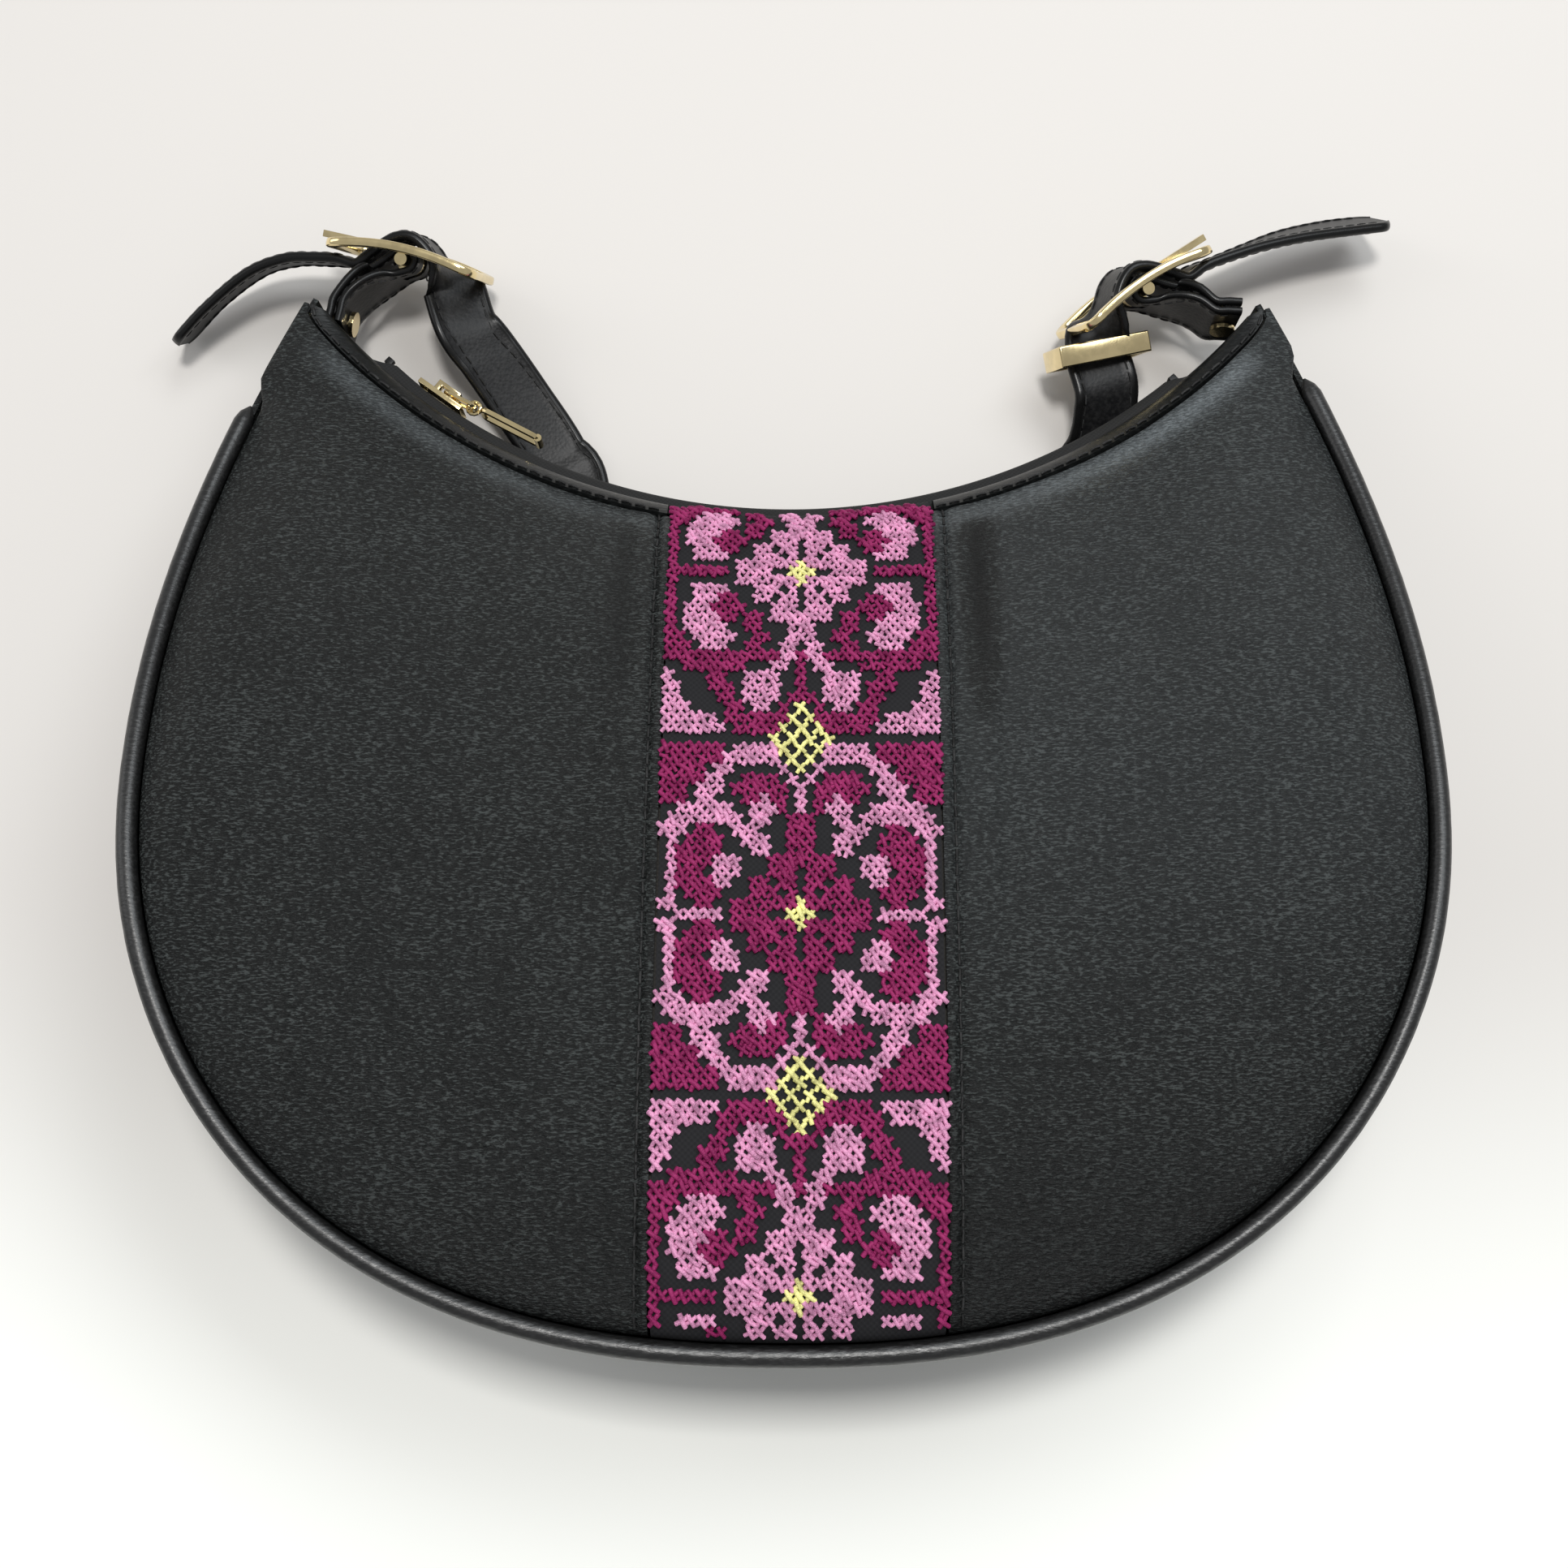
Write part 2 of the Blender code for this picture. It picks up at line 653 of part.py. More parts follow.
LEFT_LINES = panel_positions(-1)
STRIP_LINES = [1.0 + share for share in STRIP_LINE_shares]
RIGHT_LINES = panel_positions(1)
ALL_LINES = [*LEFT_LINES, *STRIP_LINES, *RIGHT_LINES]


def up_to_seam(table):
    """Shares of a panel's line, ending a gap before the facing's seam."""

    def shares(position):
        end = facing_share(position) - SEAM_GAP / line_length(position)
        return [share * end for share in table]

    return shares


def make_front():
    """Two leather panels and the embroidered strip between them, each with its own edge."""
    gap = TOUCH_GAP / STRIP_WIDTH
    panel_gap = TOUCH_GAP / (RIM_MARKS[1] - RIM_MARKS[0])
    left = [*LEFT_LINES[:-1], 1.0 - panel_gap]
    right = [2.0 + panel_gap, *RIGHT_LINES[1:]]
    sheet(
        "front_panel_left",
        surface_grid(front_point, left, up_to_seam(FRONT_shares))[:, ::-1],
        PANEL_THICK,
        LEATHER,
    )
    sheet(
        "front_panel_right",
        surface_grid(front_point, right, up_to_seam(FRONT_shares))[:, ::-1],
        PANEL_THICK,
        LEATHER,
    )
    middle = [1.0 + gap, *STRIP_LINES, 2.0 - gap]
    strip = surface_grid(front_point, middle, lambda position: FRONT_shares)
    sheet("embroidered_strip", strip[:, ::-1], PANEL_THICK, EMBROIDERY)


def make_back():
    """The back panel in one piece."""
    grid = surface_grid(back_point, ALL_LINES, up_to_seam(BACK_shares))
    sheet("back_panel", grid, PANEL_THICK, LEATHER)


def facing_grid(point_at, positions, downwards):
    """A band along the mouth that ends turned a little way in."""
    rows = []
    for position in positions:
        edge, angle = station(position)
        start = facing_share(position)
        row = [point_at(position, mixed(start, 1.0, share)) for share in (0.0, 0.5, 1.0)]
        turned = mouth_point(angle, FACING_TURN_OUT)
        height = row[-1][2] + (-FACING_TURN if downwards else FACING_TURN)
        row.append(np.array([turned[0], turned[1], height]))
        rows.append(row)
    return np.array(rows)


def make_facings():
    """The bands that bind the mouth: two in front, beside the strip, and one behind."""
    gap = 2.0 * TOUCH_GAP / STRIP_WIDTH
    lines = {
        "front_facing_left": [*LEFT_LINES[:-1], 1.0 - gap],
        "front_facing_right": [2.0 + gap, *RIGHT_LINES[1:]],
    }
    for name, positions in lines.items():
        grid = facing_grid(front_point, positions, True)
        sheet(name, grid[:, ::-1], FACING_THICK, LEATHER)
    grid = facing_grid(back_point, ALL_LINES, False)
    sheet("back_facing", grid, FACING_THICK, LEATHER)


def make_gusset():
    """The side band between the two pipings, turned in at the horns."""
    runs = np.linspace(0.0, OUTLINE_RUN[-1], GUSSET_LINES)
    places = [rim_point(run, GUSSET_INSET) for run in runs]
    ends = []
    for side, place in ((-1, places[0]), (1, places[-1])):
        step = HORN_WRAP_OUT
        ends.append(np.array([place[0] - side * step / 2.0, place[1] + step]))
    places = [ends[0], *places, ends[1]]
    rows = []
    for place in places:
        at = min(place[1], RIM_TOP_Y)
        low = back_rim_height(at) + PIPING_RADIUS + TOUCH_GAP
        high = front_rim_height(at) - PIPING_RADIUS - TOUCH_GAP
        rows.append([(place[0], place[1], mixed(low, high, share)) for share in GUSSET_shares])
    sheet("gusset", np.array(rows)[:, ::-1], GUSSET_THICK, LEATHER)


def piping_points(height):
    """The middle line of a piping cord, ending below the horns."""
    start = rim_run_at_y(PIPING_END_LEFT, -1)
    end = rim_run_at_y(PIPING_END_RIGHT, 1)
    count = round((end - start) / PIPING_SPACING) + 1
    points = []
    for run in np.linspace(start, end, count):
        place = rim_point(run, PIPING_INSET)
        points.append((place[0], place[1], height(rim_point(run, 0.0)[1])))
    return points


def make_pipings():
    tube("front_piping", piping_points(front_rim_height), PIPING_RADIUS, PIPING_LEATHER)
    tube("back_piping", piping_points(back_rim_height), PIPING_RADIUS, PIPING_LEATHER)


def make_lining():
    """A pouch inside the leather, open at the mouth."""
    inner = PANEL_THICK + LINING_GAP
    front = surface_grid(front_point, ALL_LINES, up_to_seam(FRONT_shares))
    back = surface_grid(back_point, ALL_LINES, up_to_seam(LINING_BACK_shares))
    rows = slice(LINING_SKIPPED_ROWS, -LINING_SKIPPED_ROWS)
    front = offset_grid(front, -inner)[:, rows][:, ::-1]
    back = offset_grid(back, inner)
    lines = slice(LINING_SKIPPED_LINES, -LINING_SKIPPED_LINES)
    grid = np.concatenate([front, back], axis=1)[lines]
    sheet("lining", grid, LINING_THICK, LINING_CLOTH, offset=-1.0)


def chain_spread(angle):
    """How far each half of the zip stands off the middle: closed right of the slider, parted left of it."""
    parted = max(0.0, (angle - SLIDER_ANGLE) / (ZIP_LEFT - SLIDER_ANGLE))
    return CHAIN_SPLIT + CHAIN_SPREAD * parted


def zip_angles():
    return np.linspace(ZIP_LEFT, ZIP_RIGHT, ZIP_LINES)


def make_zip_half(side, name, middle, horn):
    """A tape from the facing to the chain, and its half of the chain. Side is 1 in front, -1 behind."""
    tape_rows = []
    chain_rows = []
    for angle in zip_angles():
        edge_height = mouth_height(angle, middle, horn)
        spread = chain_spread(angle)
        tape_end = ZIP_HEIGHT + side * (spread + CHAIN_HALF + TOUCH_GAP)
        tuck_height = edge_height - side * TAPE_DROP
        outs = (-TAPE_TUCK, TAPE_TUCK / 2.0, CHAIN_OUT - CHAIN_THICK / 2.0, CHAIN_OUT)
        tape_rows.append(
            [
                (*mouth_point(angle, out), mixed(tuck_height, tape_end, share))
                for out, share in zip(outs, TAPE_BEND_shares)
            ]
        )
        inner = ZIP_HEIGHT + side * spread
        outer = ZIP_HEIGHT + side * (spread + CHAIN_HALF)
        chain_rows.append([(*mouth_point(angle, CHAIN_OUT), at) for at in (inner, outer)])
    order = slice(None, None, side)
    sheet(f"zip_tape_{name}", np.array(tape_rows)[:, order], TAPE_THICK, TAPE_CLOTH, offset=0.0)
    sheet(f"zip_teeth_{name}", np.array(chain_rows)[:, order], CHAIN_THICK, TAPE_CLOTH, offset=0.0)


def mouth_frame(angle, out):
    """A frame on the mouth's arc: X along the zip to the right, Y out of the bag, Z up."""
    place = mouth_point(angle, out)
    along = Vector((math.cos(angle), math.sin(angle), 0.0))
    outward = Vector((-math.sin(angle), math.cos(angle), 0.0))
    frame = Matrix((along, outward, Vector((0.0, 0.0, 1.0)))).transposed().to_4x4()
    frame.translation = (place[0], place[1], ZIP_HEIGHT)
    return frame


def make_zip_stops():
    """Metal stops just past the ends of the chain: two where it parts, one where it stays joined."""
    thick = CHAIN_THICK / 2.0 + STOP_WALL
    frame = mouth_frame(ZIP_LEFT, CHAIN_OUT)
    spread = chain_spread(ZIP_LEFT)
    start = -TOUCH_GAP - STOP_LENGTH
    for name, side in (("zip_stop_front", 1.0), ("zip_stop_back", -1.0)):
        low, high = sorted((side * spread, side * (spread + CHAIN_HALF)))
        mesh = box_mesh(name, (start, -thick, low), (-TOUCH_GAP, thick, high), frame)
        add_piece(name, mesh, GOLD)
    frame = mouth_frame(ZIP_RIGHT, CHAIN_OUT)
    half = CHAIN_SPLIT + CHAIN_HALF
    stop = box_mesh(
        "zip_stop_end",
        (TOUCH_GAP, -thick, -half),
        (TOUCH_GAP + STOP_LENGTH, thick, half),
        frame,
    )
    add_piece("zip_stop_end", stop, GOLD)


def make_slider():
    """Two plates over and under the chain, a post between them and a bridge that holds the pull."""
    frame = mouth_frame(SLIDER_ANGLE, CHAIN_OUT)
    near = CHAIN_THICK / 2.0 + TOUCH_GAP
    far = near + SLIDER_PLATE
    half = SLIDER_LENGTH / 2.0
    width = SLIDER_HALF_WIDTH
    body = add_piece(
        "zip_slider",
        box_mesh("zip_slider", (-half, near, -width), (half, far, width), frame),
        GOLD,
    )
    post_width = SLIDER_POST_WIDTH / 2.0
    leg = BRIDGE_LENGTH / 2.0
    wide = BRIDGE_WIDTH / 2.0
    lap = SLIDER_PLATE / 2.0
    arch = far + BRIDGE_HEIGHT - BRIDGE_TOP
    joined = {
        "slider_under_plate": ((-half, -far, -width), (half, -near, width)),
        "slider_post": (
            (lap / 2.0 - half, -near - lap, -post_width),
            (SLIDER_POST_LENGTH - half, near + lap, post_width),
        ),
        "slider_bridge": ((-leg, far - lap, -wide), (leg, arch + BRIDGE_TOP, wide)),
    }
    cutters = {}
    for name, (low, high) in joined.items():
        cutters[name] = add_cutter(name, box_mesh(name, low, high, frame))
    window = box_mesh(
        "bridge_window",
        (BRIDGE_LEG - leg, far - lap / 2.0, -wide * 2.0),
        (leg - BRIDGE_LEG, arch, wide * 2.0),
        frame,
    )
    cut(cutters["slider_bridge"], add_cutter("bridge_window", window))
    for cutter in cutters.values():
        cut(body, cutter, "UNION")
    move_origin(body, (0.0, MOUTH_CENTRE_Y, ZIP_HEIGHT))
    return frame, far + (BRIDGE_HEIGHT - BRIDGE_TOP) / 2.0


def ring_points(frame, length, half, corner, steps=3):
    """A rounded rectangle in a frame's XZ plane that starts at X 0 and runs to length."""
    points = []
    corners = ((length - corner, half - corner, 0), (corner, half - corner, 1))
    corners += ((corner, corner - half, 2), (length - corner, corner - half, 3))
    for x, z, quarter in corners:
        for step in range(steps + 1):
            turn = math.pi / 2.0 * (quarter + step / steps)
            points.append(
                frame @ Vector((x + corner * math.cos(turn), 0.0, z + corner * math.sin(turn)))
            )
    return points


def make_pull(slider_frame, pin_out):
    """A wire link through the slider's bridge and a long open pull hung on it."""
    wire = LINK_WIRE / 2.0
    half = BRIDGE_WIDTH / 2.0 + RUN_GAP + wire
    tilt = Matrix.Rotation(math.radians(LINK_TILT_DEG), 4, "Z")
    link_frame = slider_frame @ Matrix.Translation((0.0, pin_out, 0.0)) @ tilt
    link = tube(
        "pull_link", ring_points(link_frame, LINK_LENGTH, half, LINK_WIRE), wire, GOLD, cyclic=True
    )
    link_mesh = mesh_of_curve(link)
    link_piece = add_piece("pull_link", link_mesh, GOLD)
    pin = link_frame.translation.copy()
    move_origin(link_piece, pin)
    more = Matrix.Rotation(math.radians(PULL_TILT_DEG - LINK_TILT_DEG), 4, "Z")
    pull_frame = link_frame @ Matrix.Translation((LINK_LENGTH, 0.0, 0.0)) @ more
    eye_radius = wire + RUN_GAP + PULL_EYE_THICK / 2.0
    eye = []
    for step in range(SMALL_ROUND_SIDES):
        turn = 2.0 * math.pi * step / SMALL_ROUND_SIDES
        spot = Vector((eye_radius * math.cos(turn), eye_radius * math.sin(turn), 0.0))
        eye.append(pull_frame @ spot)
    eye_mesh = mesh_of_curve(tube("pull_eye", eye, PULL_EYE_THICK / 2.0, GOLD, cyclic=True))
    pull = add_piece("zip_pull", eye_mesh, GOLD)
    reach = pull_frame @ Matrix.Translation((PULL_NECK, 0.0, 0.0))
    loop = ring_points(reach, PULL_LENGTH, PULL_HALF_WIDTH, PULL_HALF_WIDTH / 2.0)
    loop_mesh = mesh_of_curve(tube("pull_loop", loop, PULL_WIRE / 2.0, GOLD, cyclic=True))
    cut(pull, add_cutter("pull_loop", loop_mesh), "UNION")
    neck = cylinder_mesh(
        "pull_neck",
        PULL_EYE_THICK / 2.0,
        pull_frame @ Vector((eye_radius, 0.0, 0.0)),
        pull_frame @ Vector((PULL_NECK, 0.0, 0.0)),
        segments=SMALL_ROUND_SIDES,
    )
    cut(pull, add_cutter("pull_neck", neck), "UNION")
    end = PULL_NECK + PULL_LENGTH
    knob = cylinder_mesh(
        "pull_knob",
        PULL_KNOB_RADIUS / 2.0,
        pull_frame @ Vector((end, 0.0, -PULL_HALF_WIDTH)),
        pull_frame @ Vector((end, 0.0, PULL_HALF_WIDTH)),
        segments=SMALL_ROUND_SIDES,
    )
    cut(pull, add_cutter("pull_knob", knob), "UNION")
    move_origin(pull, pull_frame.translation)


def buckle_frame_of(side, lean_degrees=BUCKLE_LEAN_DEG):
    """A buckle's own frame: X along it to its outer end, Y away from the bag, Z up, leaned over the bag."""
    place = (LEFT_BUCKLE_INSET - MOUTH_HALF, LEFT_BUCKLE_Y)
    degrees = LEFT_ALONG_DEG
    if side > 0:
        place = (MOUTH_HALF - RIGHT_BUCKLE_INSET, RIGHT_BUCKLE_Y)
        degrees = RIGHT_ALONG_DEG
    lean = math.radians(lean_degrees)
    along = Vector((math.cos(math.radians(degrees)), math.sin(math.radians(degrees)), 0.0))
    level = Vector((-along.y, along.x, 0.0)) * side
    outward = level * math.cos(lean) + Vector((0.0, 0.0, math.sin(lean)))
    up = Vector((0.0, 0.0, math.cos(lean))) - level * math.sin(lean)
    frame = Matrix((along, outward, up)).transposed().to_4x4()
    frame.translation = (*place, BUCKLE_HEIGHT)
    return frame


def side_name(side):
    return "left" if side < 0 else "right"


def make_buckle(side):
    """A bowed rectangular frame with a centre bar."""
    frame = buckle_frame_of(side)
    name = side_name(side)
    half = FRAME_HALF_LENGTH - FRAME_RAIL_WIDTH / 2.0
    high = FRAME_HALF_HEIGHT - FRAME_RAIL_WIDTH / 2.0
    corner = FRAME_CORNER
    path = []
    spans = np.linspace(-1.0, 1.0, FRAME_BOW_POINTS)
    for share in spans:
        path.append(((half - corner) * share, high))
    for step in (0.5, 1.0):
        turn = math.pi / 2.0 * step
        path.append((half - corner + corner * math.sin(turn), high - corner + corner * math.cos(turn)))
    path.append((half, 0.0))
    for step in (0.0, 0.5):
        turn = math.pi / 2.0 * step
        path.append((half - corner + corner * math.cos(turn), corner - high - corner * math.sin(turn)))
    for share in -spans:
        path.append(((half - corner) * share, -high))
    for step in (0.5, 1.0):
        turn = math.pi / 2.0 * step
        path.append((corner - half - corner * math.sin(turn), corner - high - corner * math.cos(turn)))
    path.append((-half, 0.0))
    for step in (0.0, 0.5):
        turn = math.pi / 2.0 * step
        path.append((corner - half - corner * math.cos(turn), high - corner + corner * math.sin(turn)))
    rings = []
    for index, (along, up) in enumerate(path):
        before = np.array(path[index - 1])
        after = np.array(path[(index + 1) % len(path)])
        run = (after - before) / np.linalg.norm(after - before)
        outside = np.array([-run[1], run[0]])
        bow = FRAME_BOW * (1.0 - (along / half) ** 2)
        ring = []
        for wide, thick in ((1, 1), (1, -1), (-1, -1), (-1, 1), (1, 1)):
            spot = np.array([along, up]) + outside * wide * FRAME_RAIL_WIDTH / 2.0
            ring.append(frame @ Vector((spot[0], bow + thick * FRAME_RAIL_THICK / 2.0, spot[1])))
        rings.append(ring)
    grid = np.array([[tuple(point) for point in ring] for ring in rings])
    mesh = grid_mesh(f"buckle_frame_{name}", grid, closed=True)
    work = bmesh.new()
    work.from_mesh(mesh)
    bmesh.ops.remove_doubles(work, verts=work.verts, dist=WELD_DISTANCE)
    bmesh.ops.recalc_face_normals(work, faces=work.faces)
    work.to_mesh(mesh)
    work.free()
    mesh.set_sharp_from_angle(angle=math.radians(SMOOTH_UNDER_DEG))
    piece = add_piece(f"buckle_frame_{name}", mesh, GOLD)
    bevel_edges(piece, FRAME_BEVEL, segments=1)
    reach = high - FRAME_RAIL_WIDTH / 2.0 - TOUCH_GAP
    bar = cylinder_mesh(
        f"buckle_bar_{name}",
        BAR_RADIUS,
        frame @ Vector((0.0, 0.0, -reach)),
        frame @ Vector((0.0, 0.0, reach)),
    )
    add_piece(f"buckle_bar_{name}", bar, GOLD)


def make_prong(side):
    """A ring that turns on the centre bar, with an arm that rests on the frame's outer end."""
    frame = buckle_frame_of(side)
    name = f"prong_{side_name(side)}"
    inner = BAR_RADIUS + RUN_GAP
    outer = inner + PRONG_RING_WALL
    wide = PRONG_RING_WIDTH / 2.0
    up = Vector((0.0, 0.0, wide))
    ring = add_piece(name, cylinder_mesh(name, outer, frame @ -up, frame @ up), GOLD)
    arm_width = PRONG_ARM_WIDTH / 2.0
    rest = FRAME_RAIL_THICK / 2.0 + TOUCH_GAP
    arm = box_mesh(
        f"{name}_arm",
        (inner, rest, -arm_width),
        (PRONG_TIP, rest + PRONG_ARM_THICK, arm_width),
        frame,
    )
    cut(ring, add_cutter(f"{name}_arm", arm), "UNION")
    hole = cylinder_mesh(f"{name}_hole", inner, frame @ (-up * 2.0), frame @ (up * 2.0))
    cut(ring, add_cutter(f"{name}_hole", hole))
    move_origin(ring, frame.translation)


def from_shares(frame, along, out, up=0.0):
    """A place in a buckle's frame, from shares of its half length."""
    return frame @ (Vector((along, out, up)) * FRAME_HALF_LENGTH)


def turned_width(frame, degrees):
    """The strap's width way: up, leaned towards the frame's outer end."""
    turn = math.radians(degrees)
    return frame.to_3x3() @ Vector((math.sin(turn), 0.0, math.cos(turn)))


def knot(place, width):
    return (*place, *Vector(width).normalized())


def beside_buckle(side, table):
    frame = buckle_frame_of(side)
    return [
        knot(from_shares(frame, along, out, up), turned_width(frame, degrees))
        for along, out, up, degrees in table
    ]


def hump_height(along):
    """The strap's arch over the centre bar: out by the hump's height, then back under the frame's ends."""
    return HUMP_HEIGHT * math.cos(math.pi * along / (HUMP_HALF_WAVE_share * FRAME_HALF_LENGTH))


def over_bar(side):
    frame = buckle_frame_of(side)
    knots = []
    for share in HUMP_shares:
        along = share * FRAME_HALF_LENGTH
        knots.append(knot(frame @ Vector((along, hump_height(along), 0.0)), turned_width(frame, 0.0)))
    return knots


def loop_knots():
    """The U that the strap makes behind the bag, flat on the table."""
    left_x = LEFT_LEG[-1][0][0] - MOUTH_HALF
    right_x = RIGHT_LEG[-1][0][0] + MOUTH_HALF
    middle = (left_x + right_x) / 2.0
    radius = (right_x - left_x) / 2.0
    knots = []
    for step in range(LOOP_TURN_POINTS + 1):
        turn = math.pi + math.pi * step / LOOP_TURN_POINTS
        place = (
            middle + radius * math.cos(turn),
            LOOP_TURN_Y + radius * math.sin(turn),
            STRAP_FLAT_HEIGHT,
        )
        knots.append(knot(place, (math.cos(turn), math.sin(turn), 0.0)))
    return knots


def strap_knots():
    """The whole strap from the left tail's tip to the right tail's tip, and its pieces' end places."""
    left_run = beside_buckle(-1, LEFT_RUN_shares)
    right_run = beside_buckle(1, RIGHT_RUN_shares)
    left_leg = [knot((x - MOUTH_HALF, y, z), width) for (x, y, z), width in LEFT_LEG]
    right_leg = [knot((x + MOUTH_HALF, y, z), width) for (x, y, z), width in RIGHT_LEG]
    knots = beside_buckle(-1, LEFT_TAIL_shares) + over_bar(-1) + left_run + left_leg
    knots += loop_knots() + right_leg[::-1] + right_run[::-1] + over_bar(1)[::-1]
    knots += beside_buckle(1, RIGHT_TAIL_shares)
    return knots, (over_bar(-1)[-1], left_leg[-1], right_leg[-1], over_bar(1)[-1])


def ribbon_rows(rows, width):
    """Points across a strap at each row of a middle line."""
    grid = []
    for row in rows:
        way = row[3:] / np.linalg.norm(row[3:])
        grid.append([row[:3] + way * width * share for share in (-0.5, 0.0, 0.5)])
    return np.array(grid)


def strap_line():
    """The strap's middle line in fine steps, how far along each step is, and where its pieces end."""
    knots, ends = strap_knots()
    line = curve_through(knots, STRAP_STEP)
    run = np.concatenate([[0.0], np.cumsum(np.linalg.norm(np.diff(line[:, :3], axis=0), axis=1))])
    marks = [
        run[np.argmin(np.linalg.norm(line[:, :3] - np.array(end[:3]), axis=1))] for end in ends
    ]
    return line, run, marks


def make_strap():
    """The strap in five stretches: two ends in the buckles, two soft bends, and the loop that swings."""
    line, run, marks = strap_line()
    gap = STRETCH_GAP / 2.0
    stretches = {
        "strap_end_left": (0.0, marks[0] - gap, BUCKLE_SPACING),
        "strap_bend_left": (marks[0] + gap, marks[1] - gap, BEND_SPACING),
        "strap_loop": (marks[1] + gap, marks[2] - gap, LOOP_SPACING),
        "strap_bend_right": (marks[2] + gap, marks[3] - gap, BEND_SPACING),
        "strap_end_right": (marks[3] + gap, run[-1], BUCKLE_SPACING),
    }
    for name, (start, end, spacing) in stretches.items():
        places = np.linspace(start, end, round((end - start) / spacing) + 1)
        rows = np.column_stack([np.interp(places, run, line[:, axis]) for axis in range(6)])
        sheet(name, ribbon_rows(rows, STRAP_WIDTH), STRAP_THICK, STRAP_LEATHER, offset=0.0)
    for side in (-1, 1):
        name = f"strap_end_{side_name(side)}"
        half = PRONG_HOLE_HALF
        middle = (FRAME_RAIL_THICK + PRONG_ARM_THICK) / 2.0 + TOUCH_GAP
        hole = box_mesh(
            f"{name}_hole",
            (BAR_RADIUS, middle - half, -half),
            (FRAME_HALF_LENGTH * PRONG_HOLE_END_share, middle + half + PRONG_HOLE_LIFT, half),
            buckle_frame_of(side),
        )
        cut(bpy.data.objects[name], add_cutter(f"{name}_hole", hole))


def tab_line(side):
    """A tab's middle line: from the horn, round the centre bar inside the strap's arch, and back."""
    frame = buckle_frame_of(side)
    apart = TAB_THICK / 2.0 + TOUCH_GAP
    near, far = (np.array(place) for place in (LEFT_TAB_ROOT if side < 0 else RIGHT_TAB_ROOT))
    stem = (far - near) / np.linalg.norm(far - near)
    across = np.array([-stem[1], stem[0]]) * apart
    outer = [far + across, (near + far) / 2.0 + across, near + across]
    inner = [near - across, (near + far) / 2.0 - across, far - across]
    outer += [np.array(share) * FRAME_HALF_LENGTH for share in TAB_OUTER_shares]
    wrap = BAR_RADIUS + TOUCH_GAP + TAB_THICK / 2.0
    around = [
        np.array([wrap * math.cos(turn), wrap * math.sin(turn)])
        for turn in np.radians(TAB_WRAP_DEG)
    ]
    back = [np.array(share) * FRAME_HALF_LENGTH for share in TAB_INNER_shares]
    upright = buckle_frame_of(side, 0.0)
    line = []
    for point in curve_through(outer + around + back + inner, TAB_SPACING):
        lean = smooth_step(
            TAB_UPRIGHT_share * FRAME_HALF_LENGTH, TAB_LEANED_share * FRAME_HALF_LENGTH, point[1]
        )
        spot = Vector((point[0], point[1], 0.0))
        place = (upright @ spot).lerp(frame @ spot, lean)
        way = upright.col[2].to_3d().lerp(frame.col[2].to_3d(), lean).normalized()
        line.append((place, way))
    return line, frame, upright, near, stem


def make_tab(side):
    """A leather tab folded round the centre bar, riveted where its two layers meet."""
    line, frame, upright, near, stem = tab_line(side)
    name = f"tab_{side_name(side)}"
    half_width = TAB_WIDTH / 2.0
    grid = np.array(
        [[tuple(place + way * half_width * share) for share in (-1.0, 0.0, 1.0)] for place, way in line]
    )
    tab = sheet(name, grid, TAB_THICK, STRAP_LEATHER, offset=0.0)
    half = PRONG_RING_WIDTH / 2.0 + RUN_GAP
    reach = BAR_RADIUS + TAB_THICK + TOUCH_GAP + RUN_GAP * 2.0
    slot = box_mesh(f"{name}_slot", (-reach, -reach, -half), (reach, reach, half), frame)
    cut(tab, add_cutter(f"{name}_slot", slot))
    way = Vector((-stem[1], stem[0], 0.0))
    middle = Vector((near[0], near[1], 0.0)) + Vector((stem[0], stem[1], 0.0)) * RIVET_HEAD_RADIUS
    outside = TAB_THICK + TOUCH_GAP * 2.0
    hole = cylinder_mesh(
        f"{name}_hole",
        RIVET_RADIUS + TOUCH_GAP,
        upright @ (middle - way * CUT_OVERRUN),
        upright @ (middle + way * CUT_OVERRUN),
        segments=SMALL_ROUND_SIDES,
    )
    cut(tab, add_cutter(f"{name}_hole", hole))
    rivet_name = f"rivet_{side_name(side)}"
    shank = cylinder_mesh(
        rivet_name,
        RIVET_RADIUS,
        upright @ (middle - way * outside),
        upright @ (middle + way * outside),
        segments=SMALL_ROUND_SIDES,
    )
    rivet = add_piece(rivet_name, shank, GOLD)
    lap = RIVET_HEAD_THICK / 2.0
    for end in (-1.0, 1.0):
        head = cylinder_mesh(
            f"{rivet_name}_head",
            RIVET_HEAD_RADIUS,
            upright @ (middle + way * end * outside),
            upright @ (middle + way * end * (outside + lap * 2.0)),
            segments=ROUND_SIDES,
        )
        cut(rivet, add_cutter(f"{rivet_name}_head_{'in' if end < 0 else 'out'}", head), "UNION")


